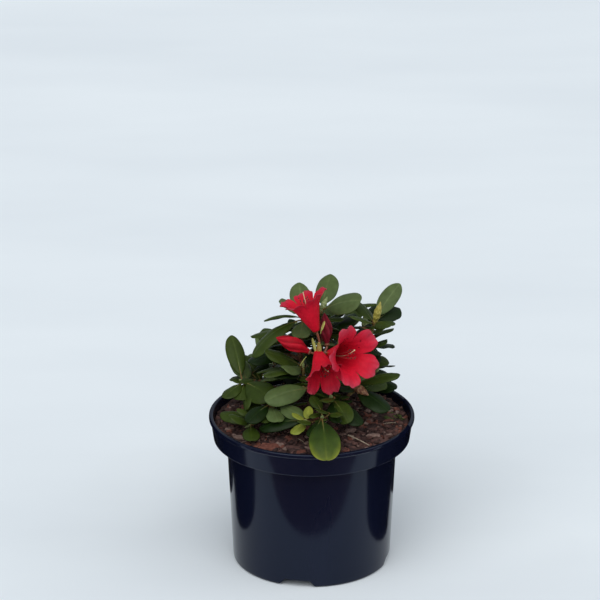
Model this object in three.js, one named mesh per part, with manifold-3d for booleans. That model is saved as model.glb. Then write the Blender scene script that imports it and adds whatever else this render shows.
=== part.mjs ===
// A dwarf azalea in its nursery pot: pot, potting soil, trunk, boughs, and masses of
// twigs, leaves and scarlet bells. Millimetres, +Z up, the origin on the pot's axis at
// the level the pot stands on. The plant's face is towards -Y, and +X is to its right.
import * as THREE from "three";
import { mergeVertices } from "three/addons/utils/BufferGeometryUtils.js";
import Module from "manifold-3d";

const wasm = await Module();
wasm.setup();

const clearance = 0.3; // between pieces that touch

// The pot: a round body, a wider collar over a ledge, and a rolled lip.
const pot = {
  height: 143,
  lipRadius: 95,
  lipDepth: 3.6,
  collarTop: 93.5,
  collarFoot: 90.7,
  collarDepth: 23,
  bodyTop: 78.6,
  bodyFoot: 73.4,
  footCorner: 4,
  bevel: 1,
  ledgeBevel: 2,
  wall: 2.4,
  channelInner: 45, // the raised ring under the floor, where the drain holes are
  channelOuter: 66,
  channelRise: 6,
  facets: 36,
};
const footNotch = { count: 4, first: -10.8, foot: 37, top: 24, rise: 7, inner: 4, depth: 20 };
const drainHole = { count: 8, radius: 4.5, ring: 56, depth: 12 };

// The soil: nearly level in the middle, falling a little towards the pot's wall.
const soil = { middle: 140, flat: 46, edge: 136, shoulder: 68, shoulderRise: 0.62 };

// The trunk: short, leaning a little, and spread at its foot.
const trunk = {
  foot: [10, 22],
  top: [8, 25, 173],
  flareRadius: 8.5,
  flareHeight: 7,
  radius: 5.2,
  topRadius: 3.6,
  sides: 8,
};

// How thick the boughs and twigs are, and how they run: first outwards, then up.
const bough = { radius: 2.7, tipRadius: 2.2, outward: 0.5, upward: 0.3, sides: 6, steps: 4 };
const twig = { stemLength: 6, radius: 1.9, tipRadius: 1.4, outward: 0.55, upward: 0.2, sides: 4, steps: 4 };
const whorlStep = 1.1; // from one leaf to the next down a shoot
const fillStep = 2.6; // the same among the leaves that fill the crown

// A leaf blade, in parts of its length or width.
const blade = { stalk: 0.14, cup: 0.25, thickness: 0.032, stations: [0.16, 0.55, 0.88], end: 0.995 };
const stalkRadius = 0.9;
const budSwell = [0.35, 0.95, 1, 0.62, 0.12]; // a bud's girth from foot to tip, in parts of its widest
const budSides = 6;
const rootsSunk = 1; // how deep a bud or a flower's stalk starts inside what carries it

// The space that the leaves which fill the crown keep to: its sides, and a roof that
// falls towards the back and, left of the middle, towards the left.
const crown = { left: -80, right: 80, back: 114, floor: 143, roof: 262, backFall: 0.4, leftFall: 0.85 };

// How far a filling leaf keeps from what is already placed: from another mass's leaves,
// from its own mass's, from the other leaves of its own shoot, and besides from a limb.
const gapToOthers = 5.2;
const gapToOwn = 2.7;
const gapInShoot = 2.2;
const gapToLimb = 0.5;
const triesPerLeaf = 14;

// Every mass hangs on one bough: where that leaves the trunk, where it ends, and the
// shoots beyond it. A shoot has a tip, then leaves set one by one as heading, rise,
// length, droop, roll and width, then a fill of leaves dealt out by the seeded rule.
// Headings run from 0 at +X through 90 at +Y, and rises from level, in degrees.
const masses = [
  {
    name: "top_leaves",
    from: 173,
    fork: [9, 36, 190],
    shoots: [
      {
        tip: [9, 25, 236],
        leaves: [
          [76, 31, 42, 25, 0, 21],
          [-30, 24, 45, 30, 38, 24],
          [140, -12, 34, 40, 0, 18],
        ],
        buds: [[60, 40, 14, 2.6]],
      },
      {
        tip: [12, 56, 210],
        leaves: [[0, 22, 52, 50, -12, 16]],
        fill: { count: 9, from: 50, to: 650, rise: 8, length: 42 },
      },
    ],
  },
  {
    name: "upper_left_leaves",
    from: 163,
    fork: [-8, 30, 180],
    shoots: [
      {
        tip: [-8, 15, 233],
        leaves: [
          [97, 35, 38, 20, 0, 20],
          [132, 20, 31, 35, 15, 18],
          [178, -4, 36, 60, 24, 17],
          [-160, -31, 58, 60, 0, 23],
          [-97, -18, 24, 20, 0, 18],
        ],
      },
      { tip: [-30, 54, 184], fill: { count: 10, from: 40, to: 700, rise: 4, length: 40 } },
      { tip: [-14, 66, 204], fill: { count: 9, from: 30, to: 650, rise: 6, length: 40 } },
    ],
  },
  {
    name: "upper_right_leaves",
    from: 163,
    fork: [36, 26, 184],
    shoots: [
      {
        tip: [58, 5, 233],
        leaves: [
          [53, 32, 46, 25, 30, 17],
          [46, 6, 34, 30, 20, 20],
          [-60, 14, 30, 30, 10, 17],
          [118, 20, 32, 20, 20, 18],
          [-139, 28, 34, 30, 0, 18],
        ],
        buds: [[-35, 74, 21, 3.4]],
      },
      {
        tip: [50, 46, 206],
        fill: { count: 10, from: -30, to: 640, rise: 5, length: 40 },
        buds: [[-100, 78, 18, 3.4]],
      },
    ],
  },
  {
    name: "flower_truss",
    from: 169.5,
    fork: [13, 8, 184],
    shoots: [
      { tip: [8, -14, 207], flowers: true },
      { tip: [26, 26, 206], fill: { count: 8, from: 0, to: 560, rise: 8, length: 38 } },
    ],
  },
  {
    name: "middle_left_leaves",
    from: 158,
    fork: [-4, 6, 165],
    shoots: [
      {
        tip: [-8, 0, 189],
        leaves: [
          [-155, 30, 44, 25, -22, 20],
          [-128, 18, 30, 25, -25, 18],
          [161, -12, 46, 40, 18, 18],
          [-147, 6, 44, 40, 8, 18],
        ],
        fill: { count: 4, from: 40, to: 220, rise: 0, length: 40 },
      },
      { tip: [1, -21, 177], leaves: [[-155, -5, 48, 30, -30, 22]] },
    ],
  },
  {
    name: "far_left_leaves",
    from: 153,
    fork: [-34, 24, 158],
    shoots: [
      {
        tip: [-64, 2, 174],
        leaves: [
          [107, 42, 48, 20, 0, 17.5],
          [-52, -5, 42, 30, 25, 26],
          [-132, -14, 28, 25, 0, 16],
          [-100, -18, 24, 25, 0, 17],
          [-88, -24, 34, 30, 60, 16],
        ],
        fill: { count: 4, from: 40, to: 200, rise: 0, length: 38 },
      },
      { tip: [-56, 44, 164], fill: { count: 10, from: 20, to: 640, rise: 2, length: 38 } },
    ],
  },
  {
    name: "lower_left_leaves",
    from: 147,
    fork: [-24, -10, 150],
    shoots: [
      {
        tip: [-56, -38, 148],
        leaves: [
          [-87, -7, 28, 25, 0, 16],
          [-150, 30, 26, 30, -15, 16],
          [150, 6, 34, 30, -15, 17],
          [86, 27, 26, 20, 0, 18],
        ],
      },
      {
        tip: [-38, -28, 164],
        leaves: [
          [-124, -8, 36, 30, -15, 17],
          [-105, -20, 24, 20, 0, 12],
          [-78, -6, 30, 25, 0, 17],
        ],
      },
    ],
  },
  {
    name: "front_leaves",
    from: 152.5,
    fork: [5, -30, 153],
    shoots: [
      {
        tip: [9, -58, 164],
        leaves: [
          [-85, -25, 51, 42, 0, 29],
          [-110, -20, 26, 20, 10, 20],
        ],
      },
      {
        tip: [-5, -57, 160],
        leaves: [
          [80, 30, 17, 10, 0, 9],
          [150, 18, 16, 10, 0, 8],
          [-140, -20, 20, 20, 0, 13],
          [140, 12, 32, 25, -20, 16],
          [172, -12, 46, 35, -20, 18],
        ],
      },
    ],
  },
  {
    name: "lower_right_leaves",
    from: 163.5,
    fork: [22, -6, 157],
    shoots: [
      {
        tip: [18, -30, 171],
        leaves: [
          [-64, -18, 36, 30, 30, 18],
          [-78, -20, 32, 30, 10, 17],
          [130, 3, 24, 30, 20, 14],
          [-46, -19, 40, 30, 0, 21],
        ],
      },
      {
        tip: [39, -8, 174],
        leaves: [
          [-16, 20, 46, 35, 5, 20],
          [-37, -19, 42, 25, 5, 24],
          [-127, 16, 26, 25, 0, 18],
        ],
        buds: [[-50, -8, 20, 4.2]],
        fill: { count: 5, from: 10, to: 190, rise: 5, length: 38 },
      },
    ],
  },
  {
    name: "back_left_leaves",
    from: 149,
    fork: [-16, 52, 150],
    shoots: [{ tip: [-36, 72, 160], fill: { count: 10, from: 20, to: 680, rise: 6, length: 40 } }],
  },
  {
    name: "back_leaves",
    from: 156,
    fork: [4, 60, 160],
    shoots: [
      { tip: [2, 84, 178], fill: { count: 10, from: -30, to: 620, rise: 6, length: 42 } },
      { tip: [30, 64, 196], fill: { count: 9, from: -30, to: 560, rise: 6, length: 40 } },
    ],
  },
  {
    name: "back_right_leaves",
    from: 150,
    fork: [34, 46, 154],
    shoots: [
      { tip: [40, 78, 168], fill: { count: 10, from: -60, to: 560, rise: 6, length: 40 } },
      { tip: [60, 36, 170], fill: { count: 10, from: -60, to: 520, rise: 4, length: 36 } },
    ],
  },
];

// The truss of bells at the front: each has its foot, the way it points, its turn about
// itself, and the sizes of its tube and lobes. One without lobes is still a bud.
const flowers = [
  { foot: [4, -14, 231], heading: 165, rise: 68, turn: 54, tube: 22, mouth: 11.5, lobe: 17, flare: 66 },
  { foot: [5, -15, 211.5], heading: -72, rise: -30, turn: 79, tube: 20, mouth: 11.5, lobe: 19, flare: 44 },
  { foot: [15.5, -18, 210.5], heading: -53, rise: 14, turn: 31, tube: 26, mouth: 13, lobe: 22.5, flare: 74 },
  { foot: [-2, -15, 210.5], heading: 172, rise: 22, length: 33, radius: 7 },
  { foot: [14, -6, 214], heading: 100, rise: 62, length: 29, radius: 6 },
];
const bell = {
  footRadius: 3,
  lobes: 5,
  wall: 1.2,
  floor: -0.8, // how near the foot the hollow of the tube ends
  columns: [
    [-36, 0.45], // a notch between two lobes, then the two shoulders of a lobe
    [-15, 0.96],
    [15, 0.96],
  ],
};
const flowerStalkRadius = 1.2;

const colours = {
  pot: 0x14181f,
  soil: 0x4b2d2a,
  bark: 0x5a3c2c,
  leaf: 0x46602c,
  flower: 0xb0182c,
};

const toRadians = THREE.MathUtils.degToRad;
const point = (p) => new THREE.Vector3(...p);

// A closed solid from a three.js geometry
function solidOf(geometry) {
  const plain = geometry.clone();
  plain.deleteAttribute("normal");
  plain.deleteAttribute("uv");
  const merged = mergeVertices(plain, 1e-4);
  return new wasm.Manifold(
    new wasm.Mesh({
      numProp: 3,
      vertProperties: merged.attributes.position.array,
      triVerts: new Uint32Array(merged.index.array),
    }),
  );
}

// A closed solid through rings of as many points each, with a flat fan over both ends
function loft(rings) {
  const sides = rings[0].length;
  const triangles = [];
  for (let i = 0; i < rings.length - 1; i++)
    for (let j = 0; j < sides; j++) {
      const [a, b] = [i * sides + j, i * sides + ((j + 1) % sides)];
      triangles.push([a, b, b + sides], [a, b + sides, a + sides]);
    }
  const last = (rings.length - 1) * sides;
  for (let j = 1; j < sides - 1; j++) triangles.push([0, j + 1, j], [last, last + j, last + j + 1]);
  const points = rings.flat().flatMap((p) => p.toArray());
  const solidFrom = (order) => {
    const geometry = new THREE.BufferGeometry();
    geometry.setAttribute("position", new THREE.Float32BufferAttribute(points, 3));
    geometry.setIndex(triangles.flatMap(order));
    return solidOf(geometry);
  };
  const solid = solidFrom((face) => face);
  return solid.volume() > 0 ? solid : solidFrom(([a, b, c]) => [a, c, b]);
}

function meshOf(name, solid, colour, roughness) {
  const { vertProperties, triVerts } = solid.getMesh();
  const geometry = new THREE.BufferGeometry();
  geometry.setAttribute("position", new THREE.BufferAttribute(vertProperties, 3));
  geometry.setIndex(new THREE.BufferAttribute(triVerts, 1));
  const material = new THREE.MeshStandardMaterial({ color: colour, roughness, metalness: 0 });
  const mesh = new THREE.Mesh(geometry, material);
  mesh.name = name;
  return mesh;
}

// A profile of radius and height, turned about Z.
function turned(profile, facets) {
  const lathe = new THREE.LatheGeometry(
    profile.map(([r, z]) => new THREE.Vector2(r, z)),
    facets,
  );
  return solidOf(lathe.rotateX(Math.PI / 2));
}

// Random numbers that any language can repeat.
function seeded(seed) {
  let state = seed;
  const draw = (low, high) => {
    state = (Math.imul(state, 1664525) + 1013904223) >>> 0;
    return low + ((high - low) * state) / 2 ** 32;
  };
  for (let i = 0; i < 4; i++) draw(0, 1);
  return draw;
}

// The way that a heading and a rise point, the level side to its left, and up from both
function directions(heading, rise) {
  const h = toRadians(heading);
  const r = toRadians(rise);
  return {
    along: new THREE.Vector3(Math.cos(h) * Math.cos(r), Math.sin(h) * Math.cos(r), Math.sin(r)),
    side: new THREE.Vector3(-Math.sin(h), Math.cos(h), 0),
    up: new THREE.Vector3(-Math.cos(h) * Math.sin(r), -Math.sin(h) * Math.sin(r), Math.cos(r)),
  };
}

// A tapering limb along a curve
function limb(curve, steps, sides, radiusAt) {
  const frames = curve.computeFrenetFrames(steps);
  const rings = [];
  for (let i = 0; i <= steps; i++) {
    const centre = curve.getPoint(i / steps);
    const radius = radiusAt(i / steps);
    rings.push(
      Array.from({ length: sides }, (_, j) => {
        const turn = (2 * Math.PI * j) / sides;
        const out = frames.normals[i].clone().multiplyScalar(Math.cos(turn));
        out.addScaledVector(frames.binormals[i], Math.sin(turn));
        return centre.clone().addScaledVector(out, radius);
      }),
    );
  }
  return loft(rings);
}

// The curve of a limb that first runs outwards and then turns up
function limbCurve(from, to, { outward, upward }) {
  const control = new THREE.Vector3(
    from.x + (to.x - from.x) * outward,
    from.y + (to.y - from.y) * outward,
    from.z + (to.z - from.z) * upward,
  );
  return new THREE.QuadraticBezierCurve3(from, control, to);
}

const linearTaper = (start, end) => (t) => start + (end - start) * t;

// The half width of a blade, in parts of its widest, from its foot at 0 to its blunt tip at 1.
const bladeOutline = (b) => Math.max(0, 1 - Math.abs(2 * b ** 1.15 - 1) ** 2.2) ** 0.6;

// A point of a leaf: s runs from the stalk's foot to the tip, t from margin to margin,
// and lift stands off the blade. The midrib is an arc that bends down by the leaf's droop.
function leafPoint(leaf, s, t, lift = 0) {
  const start = toRadians(leaf.rise + leaf.droop / 2);
  const bend = toRadians(leaf.droop);
  const rise = start - bend * s;
  const reach = (leaf.length * (bend / 2)) / Math.sin(bend / 2) / bend;
  const run = reach * (Math.sin(start) - Math.sin(rise));
  const climb = reach * (Math.cos(rise) - Math.cos(start));
  const { side, up } = directions(leaf.heading, THREE.MathUtils.radToDeg(rise));
  const level = directions(leaf.heading, 0).along;
  const roll = toRadians(leaf.roll);
  const across = side.clone().multiplyScalar(Math.cos(roll)).addScaledVector(up, Math.sin(roll));
  const out = up.clone().multiplyScalar(Math.cos(roll)).addScaledVector(side, -Math.sin(roll));
  const along = (s - blade.stalk) / (1 - blade.stalk);
  const half = along > 0 ? (leaf.width / 2) * bladeOutline(along) : 0;
  return leaf.base
    .clone()
    .addScaledVector(level, run)
    .addScaledVector(new THREE.Vector3(0, 0, 1), climb)
    .addScaledVector(across, half * t)
    .addScaledVector(out, lift - blade.cup * half * t * t);
}

// A leaf is one loft: a slim stalk that starts inside its shoot, then a blade with a lens
// for its section.
function leafSolid(leaf) {
  const thickness = leaf.length * blade.thickness;
  const onBlade = (b) => blade.stalk + (1 - blade.stalk) * b;
  const sections = [
    [0, stalkRadius, stalkRadius],
    [blade.stalk, stalkRadius, thickness / 2],
    ...blade.stations.map((b) => [onBlade(b), 0, thickness / 2]),
    [onBlade(blade.end), 0, thickness / 4],
  ];
  return loft(
    sections.map(([s, wider, half]) => {
      const side = directions(leaf.heading, 0).side.multiplyScalar(wider);
      const [left, right] = [leafPoint(leaf, s, 1).add(side), leafPoint(leaf, s, -1).sub(side)];
      return [left, leafPoint(leaf, s, 0, half), right, leafPoint(leaf, s, 0, -half)];
    }),
  );
}

// A closed bud: a spindle
function spindle(foot, heading, rise, length, radius) {
  const { along } = directions(heading, rise);
  const start = foot.clone().addScaledVector(along, -rootsSunk);
  const line = new THREE.LineCurve3(start, foot.clone().addScaledVector(along, length));
  const steps = budSwell.length - 1;
  return limb(line, steps, budSides, (t) => radius * budSwell[Math.round(t * steps)]);
}

// A point of a bell's wall: s runs from its foot at -1 to the mouth at 0 and on to the
// end of a lobe at 1, turn goes round it, and lift stands off the wall.
function bellPoint(flower, s, turn, lift = 0) {
  const { along, side, up } = directions(flower.heading, flower.rise);
  const first = Math.atan2(flower.mouth - bell.footRadius, flower.tube);
  const bend = toRadians(flower.flare) - first;
  const lean = first + bend * Math.max(0, s);
  let radius = bell.footRadius + (flower.mouth - bell.footRadius) * Math.min(1, 1 + s);
  let reach = flower.tube * Math.min(1, 1 + s);
  if (s > 0) {
    radius += (flower.lobe * (Math.cos(first) - Math.cos(lean))) / bend;
    reach += (flower.lobe * (Math.sin(lean) - Math.sin(first))) / bend;
  }
  const angle = toRadians(flower.turn + turn);
  const outwards = side.clone().multiplyScalar(Math.cos(angle)).addScaledVector(up, Math.sin(angle));
  return point(flower.foot)
    .addScaledVector(along, reach - lift * Math.sin(lean))
    .addScaledVector(outwards, radius + lift * Math.cos(lean));
}

// An open bell is one loft, out over its lobes and back inside to the bottom of its tube.
function bellSolid(flower) {
  const columns = [];
  for (let k = 0; k < bell.lobes; k++)
    for (const [turn, end] of bell.columns) columns.push([turn + (360 / bell.lobes) * k, end]);
  const ring = (share, lift) => columns.map(([turn, end]) => bellPoint(flower, share * end, turn, lift));
  const level = (s, lift) => columns.map(([turn]) => bellPoint(flower, s, turn, lift));
  const half = bell.wall / 2;
  return loft([
    level(-1, half),
    level(0, half),
    ring(0.5, half),
    ring(1, half),
    ring(1, -half),
    ring(0.5, -half),
    level(0, -half),
    level(bell.floor, -half),
  ]);
}

// What is already placed: points along the limbs, and points all over the leaves and flowers.
const taken = [];
const limbSamples = 14;

function take(points, mass, shoot, gap) {
  for (const p of points) taken.push({ p, mass, shoot, gap });
}

function leafSamples(leaf) {
  const samples = [];
  for (const s of [0.25, 0.38, 0.52, 0.66, 0.8, 0.92, 1])
    for (const t of [-0.9, -0.45, 0, 0.45, 0.9]) samples.push(leafPoint(leaf, s, t));
  return samples;
}

function flowerSamples(flower) {
  const samples = [];
  const { along } = directions(flower.heading, flower.rise);
  for (let reach = 0; reach <= (flower.tube ?? flower.length); reach += 4)
    samples.push(point(flower.foot).addScaledVector(along, reach));
  for (let turn = 0; flower.tube && turn < 360; turn += 18)
    for (const s of [-0.4, 0, 0.3, 0.6, 0.9]) samples.push(bellPoint(flower, s, turn));
  return samples;
}

function outOfSpace(p) {
  const roof = crown.roof - crown.backFall * p.y - crown.leftFall * Math.max(0, -10 - p.x);
  return p.x < crown.left || p.x > crown.right || p.y > crown.back || p.z < crown.floor || p.z > roof;
}

function blocked(leaf) {
  for (const p of leafSamples(leaf)) {
    if (outOfSpace(p)) return true;
    for (const other of taken) {
      let near = gapToOthers;
      if (other.mass === leaf.mass) near = other.shoot === leaf.shoot ? gapInShoot : gapToOwn;
      if (p.distanceTo(other.p) < near + other.gap) return true;
    }
  }
  return false;
}

// The pot's inside as radius and height, from under its lip down to the middle of its floor
function potInside() {
  const p = pot;
  const collarFootZ = p.height - p.collarDepth;
  const ledge = p.channelRise + p.wall;
  return [
    [p.collarTop - p.wall - p.bevel / 2, p.height - p.lipDepth],
    [p.collarFoot - p.wall - p.bevel / 2, collarFootZ + p.wall],
    [p.bodyTop - p.wall, collarFootZ - p.ledgeBevel],
    [p.bodyFoot - p.wall, ledge],
    [p.channelInner + 3 * p.bevel, ledge],
    [p.channelInner + p.bevel, p.wall],
    [0, p.wall],
  ];
}

// The pot, with the notches round its foot and its drain holes
function potSolid() {
  const p = pot;
  const collarFootZ = p.height - p.collarDepth;
  const corner = p.footCorner;
  const profile = [
    [0, 0],
    [p.channelInner - p.bevel, 0],
    [p.channelInner, p.channelRise],
    [p.channelOuter, p.channelRise],
    [p.channelOuter + p.bevel, 0],
    [p.bodyFoot - corner, 0],
    [p.bodyFoot - corner * 0.3, corner * 0.3],
    [p.bodyFoot, corner],
    [p.bodyTop, collarFootZ - p.ledgeBevel],
    [p.bodyTop + p.ledgeBevel, collarFootZ],
    [p.collarFoot - p.bevel, collarFootZ],
    [p.collarFoot, collarFootZ + p.bevel],
    [p.collarTop, p.height - p.lipDepth],
    [p.lipRadius - 0.3 * p.bevel, p.height - p.lipDepth + 0.3 * p.bevel],
    [p.lipRadius, p.height - p.lipDepth / 2],
    [p.lipRadius - p.bevel, p.height],
    [p.collarTop - p.wall, p.height],
    ...potInside(),
  ];
  let solid = turned(profile, p.facets);
  for (let i = 0; i < footNotch.count; i++) {
    const shape = new THREE.Shape([
      new THREE.Vector2(-footNotch.foot / 2, -1),
      new THREE.Vector2(footNotch.foot / 2, -1),
      new THREE.Vector2(footNotch.top / 2, footNotch.rise),
      new THREE.Vector2(-footNotch.top / 2, footNotch.rise),
    ]);
    const cutter = new THREE.ExtrudeGeometry(shape, { depth: footNotch.depth, bevelEnabled: false });
    cutter.rotateX(Math.PI / 2).translate(0, footNotch.inner - p.channelOuter, 0);
    cutter.rotateZ(toRadians(footNotch.first + (360 / footNotch.count) * i));
    solid = solid.subtract(solidOf(cutter));
  }
  for (let i = 0; i < drainHole.count; i++) {
    const turn = (2 * Math.PI * i) / drainHole.count;
    const { radius, depth, ring } = drainHole;
    const drill = new THREE.CylinderGeometry(radius, radius, depth, 12).rotateX(Math.PI / 2);
    drill.translate(ring * Math.cos(turn), ring * Math.sin(turn), p.channelRise);
    solid = solid.subtract(solidOf(drill));
  }
  return solid;
}

// The soil: it fills the pot, clear of its wall all round, up to the soil's edge.
function soilSolid() {
  const wall = potInside().reverse();
  const [lipEnd, collarEnd] = [wall.at(-1), wall.at(-2)];
  const share = (soil.edge - collarEnd[1]) / (lipEnd[1] - collarEnd[1]);
  const edgeRadius = collarEnd[0] + (lipEnd[0] - collarEnd[0]) * share;
  const profile = [
    ...wall.slice(0, -1).map(([r, z]) => [Math.max(0, r - clearance), z + clearance]),
    [edgeRadius - clearance, soil.edge],
    [soil.shoulder, soil.edge + soil.shoulderRise * (soil.middle - soil.edge)],
    [soil.flat, soil.middle],
    [0, soil.middle],
  ];
  return turned(profile, pot.facets);
}

// The trunk, from its flat cut on the soil to its fork
function trunkSolid(extra = 0) {
  const foot = new THREE.Vector3(...trunk.foot, soil.middle + clearance);
  const top = point(trunk.top);
  const upright = new THREE.Vector3(foot.x, foot.y, (foot.z + top.z) / 2);
  const curve = new THREE.QuadraticBezierCurve3(foot, upright, top);
  const height = top.z - foot.z;
  const radiusAt = (t) => {
    const z = t * height;
    const taper = trunk.radius + (trunk.topRadius - trunk.radius) * t;
    const flare = (trunk.flareRadius - trunk.radius) * Math.max(0, 1 - z / trunk.flareHeight) ** 2;
    return taper + flare + extra;
  };
  const solid = limb(curve, 8, trunk.sides, radiusAt);
  // The lowest ring is tilted with the lean, so the foot is cut level.
  const block = 6 * trunk.flareRadius;
  const below = new THREE.BoxGeometry(block, block, block).translate(foot.x, foot.y, foot.z - block / 2);
  return { solid: solid.subtract(solidOf(below)), curve };
}

function boughCurve(mass) {
  const foot = soil.middle + clearance;
  const start = trunkAxis.getPoint((mass.from - foot) / (trunk.top[2] - foot));
  return limbCurve(start, point(mass.fork), bough);
}

// The twigs of a mass: a short stem from the bough's tip, and one twig to each shoot.
function massLimbs(mass) {
  const fork = point(mass.fork);
  const heading = boughCurve(mass).getTangent(1);
  const start = fork.clone().addScaledVector(heading, clearance);
  const stem = new THREE.LineCurve3(start, start.clone().addScaledVector(heading, twig.stemLength));
  const twigs = mass.shoots.map((shoot) => {
    const curve = limbCurve(stem.getPoint(0.8), point(shoot.tip), twig);
    shoot.direction = curve.getTangent(1);
    return curve;
  });
  return { stem, twigs };
}

// Places the leaves that are set one by one, then deals out the rest where there is room.
function placeLeaves() {
  const leaves = [];
  const baseOf = (shoot, back) => point(shoot.tip).addScaledVector(shoot.direction, -back);
  for (const mass of masses)
    for (const shoot of mass.shoots)
      (shoot.leaves ?? []).forEach(([heading, rise, length, droop, roll, width], k) => {
        const base = baseOf(shoot, whorlStep * k);
        const leaf = { mass, shoot, base, heading, rise, length, droop, roll, width };
        leaves.push(leaf);
        take(leafSamples(leaf), mass, shoot, 0);
      });
  let seed = 0;
  for (const mass of masses)
    for (const shoot of mass.shoots) {
      seed += 977;
      if (!shoot.fill) continue;
      const { count, from, to, rise, length } = shoot.fill;
      const draw = seeded(seed);
      const first = whorlStep * (shoot.leaves ?? []).length;
      for (let k = 0; k < count; k++)
        for (let attempt = 0; attempt < triesPerLeaf; attempt++) {
          const leaf = {
            mass,
            shoot,
            base: baseOf(shoot, first + fillStep * k),
            heading: from + ((to - from) * (k + 0.5 + draw(-0.3, 0.3))) / count,
            rise: rise + (k % 2 ? 22 : -8) + draw(-10, 10),
            length: length * draw(0.85, 1.15),
            droop: draw(20, 50),
            roll: draw(-18, 18),
            width: length * draw(0.5, 0.58),
          };
          if (blocked(leaf)) continue;
          leaves.push(leaf);
          take(leafSamples(leaf), mass, shoot, 0);
          break;
        }
    }
  return leaves;
}

// The largest outer shell of what the pieces join into: a hollow sealed inside is filled.
function joined(pieces) {
  const whole = wasm.Manifold.union(pieces);
  const bodies = whole.decompose().sort((a, b) => b.volume() - a.volume());
  return bodies[0];
}

const group = new THREE.Group();
group.add(meshOf("pot", potSolid(), colours.pot, 0.35));
group.add(meshOf("soil", soilSolid(), colours.soil, 0.95));
const { solid: trunkBody, curve: trunkAxis } = trunkSolid();
group.add(meshOf("trunk", trunkBody, colours.bark, 0.85));
const { solid: trunkRoom } = trunkSolid(clearance);

const limbs = new Map(masses.map((mass) => [mass, massLimbs(mass)]));
for (const mass of masses) {
  const curve = boughCurve(mass);
  take(curve.getPoints(limbSamples), mass, null, gapToLimb);
  for (const path of limbs.get(mass).twigs) take(path.getPoints(limbSamples).slice(0, -3), mass, null, 0);
}
for (const mass of masses)
  if (mass.shoots.some((shoot) => shoot.flowers))
    for (const flower of flowers) take(flowerSamples(flower), mass, null, gapToLimb);
const leaves = placeLeaves();

for (const mass of masses) {
  const radiusAt = linearTaper(bough.radius, bough.tipRadius);
  const branch = limb(boughCurve(mass), bough.steps, bough.sides, radiusAt).subtract(trunkRoom);
  const largest = branch.decompose().sort((a, b) => b.volume() - a.volume())[0];
  group.add(meshOf(mass.name.replace(/_leaves|_truss/, "_bough"), largest, colours.bark, 0.85));
}

for (const mass of masses) {
  const { stem, twigs } = limbs.get(mass);
  const pieces = [limb(stem, 1, bough.sides, linearTaper(bough.tipRadius, twig.radius))];
  const twigRadius = linearTaper(twig.radius, twig.tipRadius);
  for (const path of twigs) pieces.push(limb(path, twig.steps, twig.sides, twigRadius));
  for (const leaf of leaves.filter((l) => l.mass === mass)) pieces.push(leafSolid(leaf));
  for (const shoot of mass.shoots) {
    const tip = point(shoot.tip);
    for (const [heading, rise, length, radius] of shoot.buds ?? [])
      pieces.push(spindle(tip, heading, rise, length, radius));
    if (!shoot.flowers) continue;
    for (const flower of flowers) {
      const foot = point(flower.foot);
      const sunk = foot.clone().addScaledVector(directions(flower.heading, flower.rise).along, rootsSunk);
      pieces.push(limb(new THREE.LineCurve3(tip, sunk), 1, 4, () => flowerStalkRadius));
      if (flower.tube) pieces.push(bellSolid(flower));
      else pieces.push(spindle(foot, flower.heading, flower.rise, flower.length, flower.radius));
    }
  }
  const colour = mass.name === "flower_truss" ? colours.flower : colours.leaf;
  group.add(meshOf(mass.name, joined(pieces), colour, 0.6));
}

export default group;
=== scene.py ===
# A dwarf azalea in its black nursery pot: twigs, leathery leaves and scarlet bells over bark compost.
# The plant's own sizes are in millimetres and degrees, and makePiece turns them into metres.
import math

import bmesh
import bpy
import numpy as np
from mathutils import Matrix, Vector, noise


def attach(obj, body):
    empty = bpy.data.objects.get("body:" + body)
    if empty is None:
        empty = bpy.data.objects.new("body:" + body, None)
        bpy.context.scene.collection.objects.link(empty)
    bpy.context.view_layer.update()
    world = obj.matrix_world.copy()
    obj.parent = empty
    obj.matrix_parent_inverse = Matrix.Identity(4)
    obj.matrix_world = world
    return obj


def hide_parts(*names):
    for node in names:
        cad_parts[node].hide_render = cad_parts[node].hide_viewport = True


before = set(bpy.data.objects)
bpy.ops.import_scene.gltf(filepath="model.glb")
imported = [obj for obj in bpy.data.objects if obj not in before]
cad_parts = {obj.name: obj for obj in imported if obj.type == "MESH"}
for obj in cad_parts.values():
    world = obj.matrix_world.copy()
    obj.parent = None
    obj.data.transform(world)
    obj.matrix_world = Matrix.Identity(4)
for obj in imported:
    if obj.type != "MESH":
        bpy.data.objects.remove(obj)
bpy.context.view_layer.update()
millimetre = 0.001
print("frame loaded:", len(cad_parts), "nodes")


def addObject(name, data):
    made = bpy.data.objects.new(name, data)
    bpy.context.scene.collection.objects.link(made)
    return made


# Camera and light
view = {
    "target": (-10.8, 0.0, 255.6),
    "distance": 3000.0,
    "elevation": 21.6,  # the photograph's viewing angle
    "lens": 197.4,
    "sensor": 36.0,
}


def addCamera():
    rise = math.radians(view["elevation"])
    away = Vector((0.0, -math.cos(rise), math.sin(rise))) * view["distance"]
    data = bpy.data.cameras.new("photoView")
    data.lens = view["lens"]
    data.sensor_width = view["sensor"]
    data.clip_end = 60.0
    camera = addObject("photoView", data)
    camera.location = (Vector(view["target"]) + away) * millimetre
    camera.rotation_euler = (math.pi / 2 - rise, 0.0, 0.0)
    bpy.context.scene.camera = camera


# Each lamp is wide and far off, like a bright sky: where it shines from, its width and its strength.
lamps = {
    "mainLight": {"heading": -108, "rise": 50, "width": 65, "strength": 1.98},
    "sideLight": {"heading": -20, "rise": 42, "width": 60, "strength": 0.75},
}
lampTint = (1.0, 0.985, 0.96)
skyLight = {"tint": (0.80, 0.88, 0.97), "strength": 0.36}


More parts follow.
